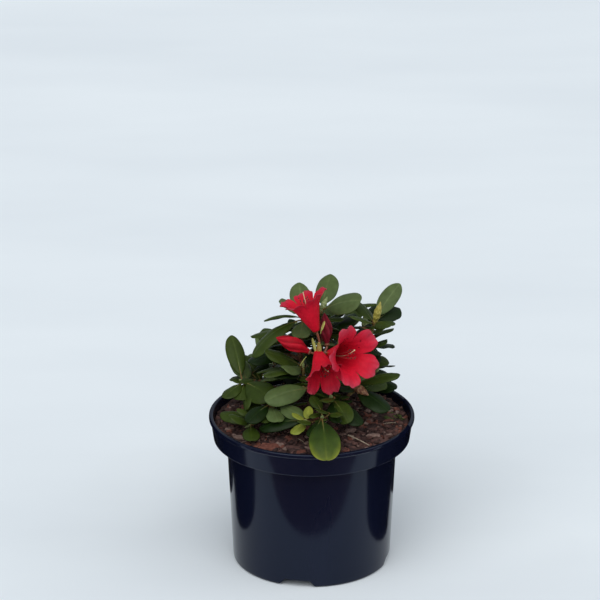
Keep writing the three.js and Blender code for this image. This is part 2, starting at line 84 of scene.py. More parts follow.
def addLights():
    for name, lamp in lamps.items():
        data = bpy.data.lights.new(name, "SUN")
        data.angle = math.radians(lamp["width"])
        data.energy = lamp["strength"]
        data.color = lampTint
        way = Vector(directions(lamp["heading"], lamp["rise"])[0])
        sun = addObject(name, data)
        sun.location = way * 2
        sun.rotation_euler = (-way).to_track_quat("-Z", "Y").to_euler()
    world = bpy.data.worlds.new("softSky")
    world.use_nodes = True
    background = world.node_tree.nodes["Background"]
    background.inputs["Color"].default_value = (*skyLight["tint"], 1.0)
    background.inputs["Strength"].default_value = skyLight["strength"]
    bpy.context.scene.world = world
    bpy.context.scene.view_settings.view_transform = "Standard"


# Materials
def newMaterial(name):
    made = bpy.data.materials.new(name)
    made.use_nodes = True
    tree = made.node_tree
    return made, tree, tree.nodes["Principled BSDF"]


def addNoise(tree, scale, detail, stretch=(1.0, 1.0, 1.0)):
    place = tree.nodes.new("ShaderNodeTexCoord")
    mapping = tree.nodes.new("ShaderNodeMapping")
    mapping.inputs["Scale"].default_value = stretch
    grain = tree.nodes.new("ShaderNodeTexNoise")
    grain.inputs["Scale"].default_value = scale
    grain.inputs["Detail"].default_value = detail
    tree.links.new(place.outputs["Object"], mapping.inputs["Vector"])
    tree.links.new(mapping.outputs["Vector"], grain.inputs["Vector"])
    return grain.outputs["Fac"]


def addRamp(tree, source, stops):
    ramp = tree.nodes.new("ShaderNodeValToRGB")
    band = ramp.color_ramp
    while len(band.elements) < len(stops):
        band.elements.new(0.5)
    for element, (place, colour) in zip(band.elements, stops):
        element.position = place
        element.color = (*colour, 1.0)
    tree.links.new(source, ramp.inputs["Fac"])
    return ramp.outputs["Color"]


def addRange(tree, source, low, high, fromLow=0.3, fromHigh=0.7):
    spread = tree.nodes.new("ShaderNodeMapRange")
    spread.inputs["From Min"].default_value = fromLow
    spread.inputs["From Max"].default_value = fromHigh
    spread.inputs["To Min"].default_value = low
    spread.inputs["To Max"].default_value = high
    tree.links.new(source, spread.inputs["Value"])
    return spread.outputs["Result"]


def mixColours(tree, share, first, second):
    # the sixth and seventh inputs are the two colours, and the second output is their mix
    mix = tree.nodes.new("ShaderNodeMix")
    mix.data_type = "RGBA"
    tree.links.new(share, mix.inputs["Factor"])
    mix.inputs[6].default_value = (*first, 1.0)
    mix.inputs[7].default_value = (*second, 1.0)
    return mix.outputs[2]


def addBump(tree, shader, source, strength, depth):
    bump = tree.nodes.new("ShaderNodeBump")
    bump.inputs["Strength"].default_value = strength
    bump.inputs["Distance"].default_value = depth * millimetre
    tree.links.new(source, bump.inputs["Height"])
    tree.links.new(bump.outputs["Normal"], shader.inputs["Normal"])


# what a material has where its own look doesn't say otherwise
skinDefaults = {"blotches": 140.0, "mottle": 0.16, "grain": 1100.0, "bump": 0.2, "shine": 0.5}
earthDefaults = {"stretch": (1.0, 1.0, 1.0), "shine": 0.35}


def livingMaterial(name, look):
    # the colours follow each leaf's or petal's shade, from deep at 0 to pale at 1, and are a little mottled
    look = {**skinDefaults, **look}
    made, tree, shader = newMaterial(name)
    shade = tree.nodes.new("ShaderNodeAttribute")
    shade.attribute_name = "shade"
    colour = addRamp(tree, shade.outputs["Fac"], look["stops"])
    blotch = addNoise(tree, look["blotches"], 3.0)
    grey = addRange(tree, blotch, 1.0 - look["mottle"], 1.0 + look["mottle"])
    mixed = tree.nodes.new("ShaderNodeVectorMath")
    mixed.operation = "SCALE"
    tree.links.new(colour, mixed.inputs[0])
    tree.links.new(grey, mixed.inputs["Scale"])
    tree.links.new(mixed.outputs["Vector"], shader.inputs["Base Color"])
    fine = addNoise(tree, look["grain"], 2.0)
    tree.links.new(addRange(tree, fine, *look["roughness"]), shader.inputs["Roughness"])
    addBump(tree, shader, fine, look["bump"], 0.25)
    shader.inputs["Specular IOR Level"].default_value = look["shine"]
    return made


def livingMaterials(prefix, skin, tones):
    return [livingMaterial(prefix + tone, {**skin, "stops": stops}) for tone, stops in tones.items()]


def earthMaterial(name, look):
    # bark and compost: streaks of two tones with dark pits
    look = {**earthDefaults, **look}
    made, tree, shader = newMaterial(name)
    streaks = addNoise(tree, look["scale"], 6.0, look["stretch"])
    colour = addRamp(tree, streaks, look["stops"])
    tree.links.new(colour, shader.inputs["Base Color"])
    fine = addNoise(tree, look["scale"] * 4.0, 5.0)
    tree.links.new(addRange(tree, fine, *look["roughness"]), shader.inputs["Roughness"])
    addBump(tree, shader, fine, look["bump"], 0.4)
    shader.inputs["Specular IOR Level"].default_value = look["shine"]
    return made


# Meshes
class Heap:
    # many small shapes, gathered to become one mesh
    def __init__(self):
        self.points, self.shades, self.faces, self.looks = [], [], [], []
        self.count = 0

    def add(self, points, faces, look=0, shade=0.5):
        # faces is a list of arrays of triangles or quads, and look is one number or one for each face
        points = np.asarray(points, float).reshape(-1, 3)
        self.points.append(points)
        self.shades.append(np.broadcast_to(np.asarray(shade, float).ravel(), len(points)))
        done = 0
        for block in faces:
            self.faces.append(block + self.count)
            part = look[done : done + len(block)] if isinstance(look, np.ndarray) else look
            self.looks.append(np.broadcast_to(part, len(block)))
            done += len(block)
        self.count += len(points)

    def triangles(self):
        return sum(len(block) * (block.shape[1] - 2) for block in self.faces)


def gridFaces(rows, columns, closed=False):
    # the quads of a grid of points, which may close on itself across its rows
    row = np.arange(rows - 1)[:, None] * columns
    left = np.arange(columns if closed else columns - 1)[None, :]
    right = (left + 1) % columns
    return np.stack([row + left, row + right, row + columns + right, row + columns + left], -1).reshape(-1, 4)


def endFans(columns, last, pole):
    # fans that close the first ring and the one that starts at last, round the points pole and pole + 1
    around = np.arange(columns)
    following = (around + 1) % columns
    foot = np.stack([np.full(columns, pole), following, around], -1)
    tip = np.stack([np.full(columns, pole + 1), last + around, last + following], -1)
    return np.concatenate([foot, tip])


def closedRings(rows, columns):
    # the faces of a stack of rings, closed at both ends round the two points that follow it
    return [gridFaces(rows, columns, closed=True), endFans(columns, (rows - 1) * columns, rows * columns)]


def turnFacesOutward(mesh):
    shell = bmesh.new()
    shell.from_mesh(mesh)
    bmesh.ops.recalc_face_normals(shell, faces=shell.faces)
    shell.to_mesh(mesh)
    shell.free()


def makePiece(name, heap, materials, nodes=(), sharpAngle=None):
    mesh = bpy.data.meshes.new(name)
    points = np.concatenate(heap.points) * millimetre
    sizes = np.concatenate([np.full(len(block), block.shape[1]) for block in heap.faces])
    corners = np.concatenate([block.ravel() for block in heap.faces])
    mesh.vertices.add(len(points))
    mesh.vertices.foreach_set("co", points.astype(np.float32).ravel())
    mesh.loops.add(len(corners))
    mesh.loops.foreach_set("vertex_index", corners.astype(np.int32))
    mesh.polygons.add(len(sizes))
    mesh.polygons.foreach_set("loop_start", (np.cumsum(sizes) - sizes).astype(np.int32))
    mesh.polygons.foreach_set("material_index", np.concatenate(heap.looks).astype(np.int32))
    mesh.polygons.foreach_set("use_smooth", np.ones(len(sizes), bool))
    shade = mesh.attributes.new("shade", "FLOAT", "POINT")
    shade.data.foreach_set("value", np.concatenate(heap.shades).astype(np.float32))
    for material in materials:
        mesh.materials.append(material)
    mesh.update(calc_edges=True)
    mesh.validate()
    turnFacesOutward(mesh)
    if sharpAngle is not None:
        mesh.set_sharp_from_angle(angle=math.radians(sharpAngle))
    piece = addObject(name, mesh)
    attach(piece, "root")
    if nodes:
        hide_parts(*nodes)
    print(f"{name}: {heap.triangles()} triangles")
    return piece


def unit(way):
    # the same way at a length of one
    return way / np.linalg.norm(way)


def spoke(angle, side, up):
    # the way out from an axis, at an angle round it
    angle = np.asarray(angle)[..., None]
    return np.cos(angle) * side + np.sin(angle) * up


def tube(path, radii, sides, roughen=None):
    # a closed tube with rounded ends; roughen gives each point's extra radius from its place along and round
    path = np.asarray(path, float)
    along = np.gradient(path, axis=0)
    along /= np.linalg.norm(along, axis=1)[:, None]
    side = np.cross(along[0], (0.0, 0.0, 1.0) if abs(along[0][2]) < 0.9 else (1.0, 0.0, 0.0))
    turns = np.arange(sides) * 2 * math.pi / sides
    rings = []
    for i, (middle, way) in enumerate(zip(path, along)):
        side = unit(side - way * (side @ way))
        other = np.cross(way, side)
        radius = np.full(sides, radii[i])
        if roughen is not None:
            radius = radius + roughen(i, turns)
        rings.append(middle + radius[:, None] * spoke(turns, side, other))
    ends = [path[0] - along[0] * radii[0] * 0.4, path[-1] + along[-1] * radii[-1] * 0.4]
    return np.concatenate([*rings, ends]), closedRings(len(path), sides)


def curvePoint(start, control, end, t):
    # a place on the curve from start to end that bends towards control
    return (1 - t) ** 2 * start + 2 * (1 - t) * t * control + t**2 * end


def bezier(start, control, end, count):
    return curvePoint(start, control, end, np.linspace(0.0, 1.0, count)[:, None])


def spreadOut(*values):
    # numbers and arrays, all brought to one shape
    return np.broadcast_arrays(*[np.asarray(value, float) for value in values])


def seeded(seed):
    # random numbers that any language can repeat
    state = seed

    def draw(low, high):
        nonlocal state
        state = (state * 1664525 + 1013904223) % 2**32
        return low + (high - low) * state / 2**32

    for _ in range(4):
        draw(0, 1)
    return draw


def directions(heading, rise):
    # the way ahead, the level way to its left and the way up from it
    h, r = math.radians(heading), math.radians(rise)
    along = np.array([math.cos(h) * math.cos(r), math.sin(h) * math.cos(r), math.sin(r)])
    side = np.array([-math.sin(h), math.cos(h), 0.0])
    up = np.array([-math.cos(h) * math.sin(r), -math.sin(h) * math.sin(r), math.cos(r)])
    return along, side, up


# The plant's plan: the same named sizes and the same rule as its solids
trunk = {
    "foot": (10, 22),
    "top": (8, 25, 173),
    "flareRadius": 8.5,  # of the root flare at the foot
    "flareHeight": 7,
    "radius": 5.2,
    "topRadius": 3.6,
}
# the compost's heights at its middle, edge and underside, and how far out it is flat, bends and ends
soil = {
    "middle": 140.0,
    "edge": 136.0,
    "floor": 2.7,
    "flat": 46.0,
    "shoulder": 68.0,
    "shoulderRise": 0.62,
    "wall": 89.7,
}
clearance = 0.3
# limbs leave outwards and turn up, by these shares of the way to their end
bough = {"radius": 2.7, "tipRadius": 2.2, "outward": 0.5, "upward": 0.3}
twig = {"stemLength": 6, "radius": 1.9, "tipRadius": 1.4, "outward": 0.55, "upward": 0.2}
growth = {
    "whorlStep": 1.1,  # from one leaf to the next down a shoot
    "fillStep": 2.6,
    # the space that the crown keeps to, under a roof that falls to the back and the left
    "left": -80,
    "right": 80,
    "back": 114,
    "floor": 143,
    "roof": 262,
    "backFall": 0.4,
    "leftFall": 0.85,
    # how far a new leaf keeps from other masses, its own mass, its own shoot and any limb
    "gapToOthers": 5.2,
    "gapToOwn": 2.7,
    "gapInShoot": 2.2,
    "gapToLimb": 0.5,
    "tries": 14,
    "limbSamples": 15,
}
blade = {"stalk": 0.14, "cup": 0.25}
leafNumbers = ("heading", "rise", "length", "droop", "roll", "width", "tone")
# The masses, each on its own bough. A leaf has the numbers named above, and a bud has its heading, rise,
# length, radius and tone. A fill deals out more leaves, from the first heading round to the last.
masses = [
    {
        "name": "top_leaves",
        "start": 173,
        "fork": (9, 36, 190),
        "shoots": [
            {
                "tip": (9, 25, 236),
                "leaves": [
                    (76, 31, 42, 25, 0, 21, "pale"),
                    (-30, 24, 45, 30, 38, 24, "pale"),
                    (140, -12, 34, 40, 0, 18, "dark"),
                ],
                "buds": [(60, 40, 14, 2.6, "green")],
            },
            {
                "tip": (12, 56, 210),
                "leaves": [(0, 22, 52, 50, -12, 16, "mid")],
                "fill": {"count": 9, "first": 50, "last": 650, "rise": 8, "length": 42},
            },
        ],
    },
    {
        "name": "upper_left_leaves",
        "start": 163,
        "fork": (-8, 30, 180),
        "shoots": [
            {
                "tip": (-8, 15, 233),
                "leaves": [
                    (97, 35, 38, 20, 0, 20, "pale"),
                    (132, 20, 31, 35, 15, 18, "pale"),
                    (178, -4, 36, 60, 24, 17, "mid"),
                    (-160, -31, 58, 60, 0, 23, "mid"),
                    (-97, -18, 24, 20, 0, 18, "pale"),
                ],
            },
            {"tip": (-30, 54, 184), "fill": {"count": 10, "first": 40, "last": 700, "rise": 4, "length": 40}},
            {"tip": (-14, 66, 204), "fill": {"count": 9, "first": 30, "last": 650, "rise": 6, "length": 40}},
        ],
    },
    {
        "name": "upper_right_leaves",
        "start": 163,
        "fork": (36, 26, 184),
        "shoots": [
            {
                "tip": (58, 5, 233),
                "leaves": [
                    (53, 32, 46, 25, 30, 17, "pale"),
                    (46, 6, 34, 30, 20, 20, "dark"),
                    (-60, 14, 30, 30, 10, 17, "mid"),
                    (118, 20, 32, 20, 20, 18, "mid"),
                    (-139, 28, 34, 30, 0, 18, "mid"),
                ],
                "buds": [(-35, 74, 21, 3.4, "yellow")],
            },
            {
                "tip": (50, 46, 206),
                "fill": {"count": 10, "first": -30, "last": 640, "rise": 5, "length": 40},
                "buds": [(-100, 78, 18, 3.4, "green")],
            },
        ],
    },
    {
        "name": "flower_truss",
        "start": 169.5,
        "fork": (13, 8, 184),
        "shoots": [
            {"tip": (8, -14, 207), "flowers": True},
            {"tip": (26, 26, 206), "fill": {"count": 8, "first": 0, "last": 560, "rise": 8, "length": 38}},
        ],
    },
    {
        "name": "middle_left_leaves",
        "start": 158,
        "fork": (-4, 6, 165),
        "shoots": [
            {
                "tip": (-8, 0, 189),
                "leaves": [
                    (-155, 30, 44, 25, -22, 20, "mid"),
                    (-128, 18, 30, 25, -25, 18, "pale"),
                    (161, -12, 46, 40, 18, 18, "mid"),
                    (-147, 6, 44, 40, 8, 18, "mid"),
                ],
                "fill": {"count": 4, "first": 40, "last": 220, "rise": 0, "length": 40},
            },
            {"tip": (1, -21, 177), "leaves": [(-155, -5, 48, 30, -30, 22, "pale")]},
        ],
    },
    {
        "name": "far_left_leaves",
        "start": 153,
        "fork": (-34, 24, 158),
        "shoots": [
            {
                "tip": (-64, 2, 174),
                "leaves": [
                    (107, 42, 48, 20, 0, 17.5, "mid"),
                    (-52, -5, 42, 30, 25, 26, "mid"),
                    (-132, -14, 28, 25, 0, 16, "mid"),
                    (-100, -18, 24, 25, 0, 17, "mid"),
                    (-88, -24, 34, 30, 60, 16, "mid"),
                ],
                "fill": {"count": 4, "first": 40, "last": 200, "rise": 0, "length": 38},
            },
            {"tip": (-56, 44, 164), "fill": {"count": 10, "first": 20, "last": 640, "rise": 2, "length": 38}},
        ],
    },
    {
        "name": "lower_left_leaves",
        "start": 147,
        "fork": (-24, -10, 150),
        "shoots": [
            {
                "tip": (-56, -38, 148),
                "leaves": [
                    (-87, -7, 28, 25, 0, 16, "mid"),
                    (-150, 30, 26, 30, -15, 16, "mid"),
                    (150, 6, 34, 30, -15, 17, "mid"),
                    (86, 27, 26, 20, 0, 18, "mid"),
                ],
            },
            {
                "tip": (-38, -28, 164),
                "leaves": [
                    (-124, -8, 36, 30, -15, 17, "dark"),
                    (-105, -20, 24, 20, 0, 12, "mid"),
                    (-78, -6, 30, 25, 0, 17, "pale"),
                ],
            },
        ],
    },
    {
        "name": "front_leaves",
        "start": 152.5,
        "fork": (5, -30, 153),
        "shoots": [
            {
                "tip": (9, -58, 164),
                "leaves": [(-85, -25, 51, 42, 0, 29, "edgedShadedBase"), (-110, -20, 26, 20, 10, 20, "dark")],
            },
            {
                "tip": (-5, -57, 160),
                "leaves": [
                    (80, 30, 17, 10, 0, 9, "young"),
                    (150, 18, 16, 10, 0, 8, "young"),
                    (-140, -20, 20, 20, 0, 13, "young"),
                    (140, 12, 32, 25, -20, 16, "pale"),
                    (172, -12, 46, 35, -20, 18, "dark"),
                ],
            },
        ],
    },
    {
        "name": "lower_right_leaves",
        "start": 163.5,
        "fork": (22, -6, 157),
        "shoots": [
            {
                "tip": (18, -30, 171),
                "leaves": [
                    (-64, -18, 36, 30, 30, 18, "mid"),
                    (-78, -20, 32, 30, 10, 17, "dark"),
                    (130, 3, 24, 30, 20, 14, "mid"),
                    (-46, -19, 40, 30, 0, 21, "dark"),
                ],
            },
            {
                "tip": (39, -8, 174),
                "leaves": [
                    (-16, 20, 46, 35, 5, 20, "mid"),
                    (-37, -19, 42, 25, 5, 24, "dark"),
                    (-127, 16, 26, 25, 0, 18, "dark"),
                ],
                "buds": [(-50, -8, 20, 4.2, "brown")],
                "fill": {"count": 5, "first": 10, "last": 190, "rise": 5, "length": 38},
            },
        ],
    },
    {
        "name": "back_left_leaves",
        "start": 149,
        "fork": (-16, 52, 150),
        "shoots": [
            {"tip": (-36, 72, 160), "fill": {"count": 10, "first": 20, "last": 680, "rise": 6, "length": 40}}
        ],
    },
    {
        "name": "back_leaves",
        "start": 156,
        "fork": (4, 60, 160),
        "shoots": [
            {"tip": (2, 84, 178), "fill": {"count": 10, "first": -30, "last": 620, "rise": 6, "length": 42}},
            {"tip": (30, 64, 196), "fill": {"count": 9, "first": -30, "last": 560, "rise": 6, "length": 40}},
        ],
    },
    {
        "name": "back_right_leaves",
        "start": 150,
        "fork": (34, 46, 154),
        "shoots": [
            {"tip": (40, 78, 168), "fill": {"count": 10, "first": -60, "last": 560, "rise": 6, "length": 40}},
            {"tip": (60, 36, 170), "fill": {"count": 10, "first": -60, "last": 520, "rise": 4, "length": 36}},
        ],
    },
]
# three open bells and two closed flowers, each from its foot on its stalk
flowers = [
    {"foot": (4, -14, 231), "heading": 165, "rise": 68, "turn": 54,
     "tube": 22, "mouth": 11.5, "lobe": 17, "flare": 66},
    {"foot": (5, -15, 211.5), "heading": -72, "rise": -30, "turn": 79,
     "tube": 20, "mouth": 11.5, "lobe": 19, "flare": 44},
    {"foot": (15.5, -18, 210.5), "heading": -53, "rise": 14, "turn": 31,
     "tube": 26, "mouth": 13, "lobe": 22.5, "flare": 74},
    {"foot": (-2, -15, 210.5), "heading": 172, "rise": 22, "length": 33, "radius": 7, "tone": "budRed"},
    # the closed flower behind the others: its darker maroon tone is painted shade on the same red bud
    {"foot": (14, -6, 214), "heading": 100, "rise": 62, "length": 29, "radius": 6, "tone": "budRedInShade"},
]
bell = {"footRadius": 3, "lobes": 5, "notch": 0.24}  # the notch is where two lobes part, along the lobe
lobeTurn = 360 / bell["lobes"]


def limbPath(start, end, kind, count):
    # first outwards, then up
    start, end = np.array(start, float), np.array(end, float)
    control = start + (end - start) * (kind["outward"], kind["outward"], kind["upward"])
    return start, control, end, bezier(start, control, end, count)


def trunkCurve():
    foot = np.array([*trunk["foot"], soil["middle"] + clearance])
    top = np.array(trunk["top"], float)
    control = np.array([foot[0], foot[1], (foot[2] + top[2]) / 2])
    return foot, control, top


def trunkPoint(height):
    foot, control, top = trunkCurve()
    return curvePoint(foot, control, top, (height - foot[2]) / (top[2] - foot[2]))


def bladeOutline(b, blunt=0.0):
    # the blade's half width as a share of its widest, which blunt makes fuller towards the tip
    b = np.clip(b, 0.0, 1.0)
    return np.maximum(0.0, 1 - np.abs(2 * b**1.15 - 1) ** 2.2) ** (0.6 - blunt * b)


def leafPoints(leaf, s, t, lift=0.0, blunt=0.0):
    # s runs from the stalk's foot to the tip, t from margin to margin, and lift stands off the blade
    s, t, lift = spreadOut(s, t, lift)
    start = math.radians(leaf["rise"] + leaf["droop"] / 2)
    bend = math.radians(leaf["droop"])
    rise = start - bend * s
    reach = leaf["length"] * (bend / 2) / math.sin(bend / 2) / bend
    run = reach * (math.sin(start) - np.sin(rise))
    climb = reach * (np.cos(rise) - math.cos(start))
    h = math.radians(leaf["heading"])
    level = np.array([math.cos(h), math.sin(h), 0.0])
    side = np.array([-math.sin(h), math.cos(h), 0.0])
    up = np.stack([-math.cos(h) * np.sin(rise), -math.sin(h) * np.sin(rise), np.cos(rise)], -1)
    roll = math.radians(leaf["roll"])
    across = side * math.cos(roll) + up * math.sin(roll)
    out = up * math.cos(roll) - side * math.sin(roll)
    b = (s - blade["stalk"]) / (1 - blade["stalk"])
    half = np.where(b > 0, leaf["width"] / 2 * bladeOutline(b, blunt), 0.0)
    return (
        leaf["base"]
        + run[..., None] * level
        + climb[..., None] * np.array([0.0, 0.0, 1.0])
        + (half * t)[..., None] * across
        + (lift - blade["cup"] * half * t * t)[..., None] * out
    )


def bellPoints(flower, s, turn, lift=0.0):
    # s runs from the foot at -1 to the mouth at 0 and on to a lobe's end at 1, and turn goes round
    s, turn, lift = spreadOut(s, turn, lift)
    along, side, up = directions(flower["heading"], flower["rise"])
    first = math.atan2(flower["mouth"] - bell["footRadius"], flower["tube"])
    bend = math.radians(flower["flare"]) - first
    lean = first + bend * np.maximum(0.0, s)
    tubeShare = np.minimum(1.0, 1 + s)
    onLobe = s > 0
    radius = bell["footRadius"] + (flower["mouth"] - bell["footRadius"]) * tubeShare
    radius = radius + np.where(onLobe, flower["lobe"] * (math.cos(first) - np.cos(lean)) / bend, 0.0)
    reach = flower["tube"] * tubeShare
    reach = reach + np.where(onLobe, flower["lobe"] * (np.sin(lean) - math.sin(first)) / bend, 0.0)
    outwards = spoke(np.radians(flower["turn"] + turn), side, up)
    return (
        np.array(flower["foot"], float)
        + (reach - lift * np.sin(lean))[..., None] * along
        + (radius + lift * np.cos(lean))[..., None] * outwards
    )


# Growing the leaves: those set one by one, then the ones that fill the crown where there is room.
# The stations are the places on a blade that are kept clear of other leaves.
leafStations = [(s, t) for s in (0.25, 0.38, 0.52, 0.66, 0.8, 0.92, 1) for t in (-0.9, -0.45, 0, 0.45, 0.9)]
stationS, stationT = np.array(leafStations, float).T
taken = {"points": [], "mass": [], "shoot": [], "gap": []}
# how far a filling leaf strays from its shoot's numbers, and the tones that it may have
fillLeaf = {
    "sway": (-0.3, 0.3),
    "rises": (-8, 22),  # of every other leaf
    "riseSway": (-10, 10),
    "length": (0.85, 1.15),
    "droop": (20, 50),
    "roll": (-18, 18),
    "width": (0.5, 0.58),
    "tones": ("mid", "mid", "dark", "pale", "mid", "dark"),
    "toneSeed": 31,
    "shootSeed": 977,
}


def take(points, mass, shoot, gap):
    taken["points"].append(np.asarray(points, float))
    taken["mass"].append(np.full(len(points), mass))
    taken["shoot"].append(np.full(len(points), shoot))
    taken["gap"].append(np.full(len(points), float(gap)))


def flowerSamples(flower):
    along = directions(flower["heading"], flower["rise"])[0]
    reach = np.arange(0, flower.get("tube", flower.get("length")) + 0.001, 4)
    samples = [np.array(flower["foot"], float) + reach[:, None] * along]
    if "tube" in flower:
        turn, s = np.meshgrid(np.arange(0, 360, 18), [-0.4, 0, 0.3, 0.6, 0.9], indexing="ij")
        samples.append(bellPoints(flower, s.ravel(), turn.ravel()))
    return np.concatenate(samples)


def outOfSpace(points):
    x, y, z = points.T
    g = growth
    roof = g["roof"] - g["backFall"] * y - g["leftFall"] * np.maximum(0, -10 - x)
    outside = (x < g["left"]) | (x > g["right"]) | (y > g["back"]) | (z < g["floor"]) | (z > roof)
    return outside.any()


def blocked(leaf, ease=1.0):
    points = leafPoints(leaf, stationS, stationT)
    if outOfSpace(points):
        return True
    placed = np.concatenate(taken["points"])
    mass, shoot = np.concatenate(taken["mass"]), np.concatenate(taken["shoot"])
    near = np.where(mass != leaf["mass"], growth["gapToOthers"], growth["gapToOwn"])
    near = np.where((mass == leaf["mass"]) & (shoot == leaf["shoot"]), growth["gapInShoot"], near)
    near = near * ease + np.concatenate(taken["gap"])
    apart = np.linalg.norm(points[:, None] - placed[None], axis=2)
    return (apart < near[None]).any()


def shootBase(shoot, back):
    return np.array(shoot["tip"], float) - shoot["direction"] * back


def growLimbs():
    number = 0
    for index, mass in enumerate(masses):
        foot = trunkPoint(mass["start"])
        start, control, end, path = limbPath(foot, mass["fork"], bough, growth["limbSamples"])
        way = unit(end - control)
        mass["boughPath"] = limbPath(start, end, bough, 40)[3]
        mass["stem"] = (end + way * clearance, end + way * (clearance + twig["stemLength"]))
        take(path, index, -1, growth["gapToLimb"])
        for shoot in mass["shoots"]:
            number += 1
            shoot["number"] = number
            foot = mass["stem"][0] + (mass["stem"][1] - mass["stem"][0]) * 0.8
            _, control, tip, path = limbPath(foot, shoot["tip"], twig, growth["limbSamples"])
            shoot["direction"] = unit(tip - control)
            shoot["path"] = limbPath(foot, shoot["tip"], twig, 28)[3]
            take(path[:-3], index, -1, 0)
    truss = next(i for i, mass in enumerate(masses) if any("flowers" in s for s in mass["shoots"]))
    for flower in flowers:
        take(flowerSamples(flower), truss, -1, growth["gapToLimb"])


def growLeaves():
    leaves = []
    for index, mass in enumerate(masses):
        for shoot in mass["shoots"]:
            for k, numbers in enumerate(shoot.get("leaves", [])):
                leaf = dict(zip(leafNumbers, numbers), mass=index, shoot=shoot["number"])
                leaf["base"] = shootBase(shoot, growth["whorlStep"] * k)
                leaves.append(leaf)
                take(leafPoints(leaf, stationS, stationT), index, shoot["number"], 0)
    pickTone = seeded(fillLeaf["toneSeed"])
    for index, mass in enumerate(masses):
        for shoot in mass["shoots"]:
            if "fill" not in shoot:
                continue
            fill = shoot["fill"]
            draw = seeded(fillLeaf["shootSeed"] * shoot["number"])
            first = growth["whorlStep"] * len(shoot.get("leaves", []))
            for k in range(fill["count"]):
                for _ in range(growth["tries"]):
                    leaf = {"mass": index, "shoot": shoot["number"]}
                    leaf["base"] = shootBase(shoot, first + growth["fillStep"] * k)
                    span = fill["last"] - fill["first"]
                    place = k + 0.5 + draw(*fillLeaf["sway"])
                    leaf["heading"] = fill["first"] + span * place / fill["count"]
                    leaf["rise"] = fill["rise"] + fillLeaf["rises"][k % 2] + draw(*fillLeaf["riseSway"])
                    leaf["length"] = fill["length"] * draw(*fillLeaf["length"])
                    leaf["droop"] = draw(*fillLeaf["droop"])
                    leaf["roll"] = draw(*fillLeaf["roll"])
                    leaf["width"] = fill["length"] * draw(*fillLeaf["width"])
                    if blocked(leaf):
                        continue
                    leaf["tone"] = fillLeaf["tones"][int(pickTone(0, len(fillLeaf["tones"])))]
                    leaves.append(leaf)
                    take(leafPoints(leaf, stationS, stationT), index, shoot["number"], 0)
                    break
    return leaves


# The finer growth: short side shoots off the twigs, each with a few small leaves, inside the same reach
sideShoot = {
    "perTwig": 3,
    "place": (0.35, 0.85),  # along its twig
    "turnStep": 137.5,
    "rise": (10, 45),
    "length": (7, 13),
    "leaves": 4,
    "leafStep": 1.2,
    "firstLeaf": -150,  # round from the shoot's own heading
    "leafTurn": 100,
    "leafSway": (-20, 20),
    "leafRise": (0, 35),
    "leafLength": (14, 23),
    "leafDroop": (15, 40),
    "leafRoll": (-20, 20),
    "leafWidth": (0.46, 0.56),
    "tones": ("mid", "dark", "mid"),
    "ease": 0.62,  # the share of the gaps that its leaves keep
    "seed": 5003,
}


def growSideShoots():
    small, shoots = [], []
    draw = seeded(sideShoot["seed"])
    for index, mass in enumerate(masses):
        for shoot in mass["shoots"]:
            if "flowers" in shoot:
                continue
            for k in range(sideShoot["perTwig"]):
                place = int(draw(*sideShoot["place"]) * len(shoot["path"]))
                foot = shoot["path"][place]
                heading = sideShoot["turnStep"] * k + draw(0, 90)
                way = directions(heading, draw(*sideShoot["rise"]))[0]
                tip = foot + way * draw(*sideShoot["length"])
                grown = 0
                for j in range(sideShoot["leaves"]):
                    leaf = {"mass": index, "shoot": 100 + len(shoots)}
                    leaf["base"] = tip - way * sideShoot["leafStep"] * j
                    leafWay = heading + sideShoot["firstLeaf"] + sideShoot["leafTurn"] * j
                    leaf["heading"] = leafWay + draw(*sideShoot["leafSway"])
                    leaf["rise"] = draw(*sideShoot["leafRise"])
                    leaf["length"] = draw(*sideShoot["leafLength"])
                    leaf["droop"] = draw(*sideShoot["leafDroop"])
                    leaf["roll"] = draw(*sideShoot["leafRoll"])
                    leaf["width"] = leaf["length"] * draw(*sideShoot["leafWidth"])
                    leaf["tone"] = sideShoot["tones"][int(draw(0, len(sideShoot["tones"])))]
                    if blocked(leaf, sideShoot["ease"]):
                        continue
                    grown += 1
                    small.append(leaf)
                    take(leafPoints(leaf, stationS, stationT), index, leaf["shoot"], 0)
                if grown:
                    shoots.append({"foot": foot, "tip": tip})
    return small, shoots


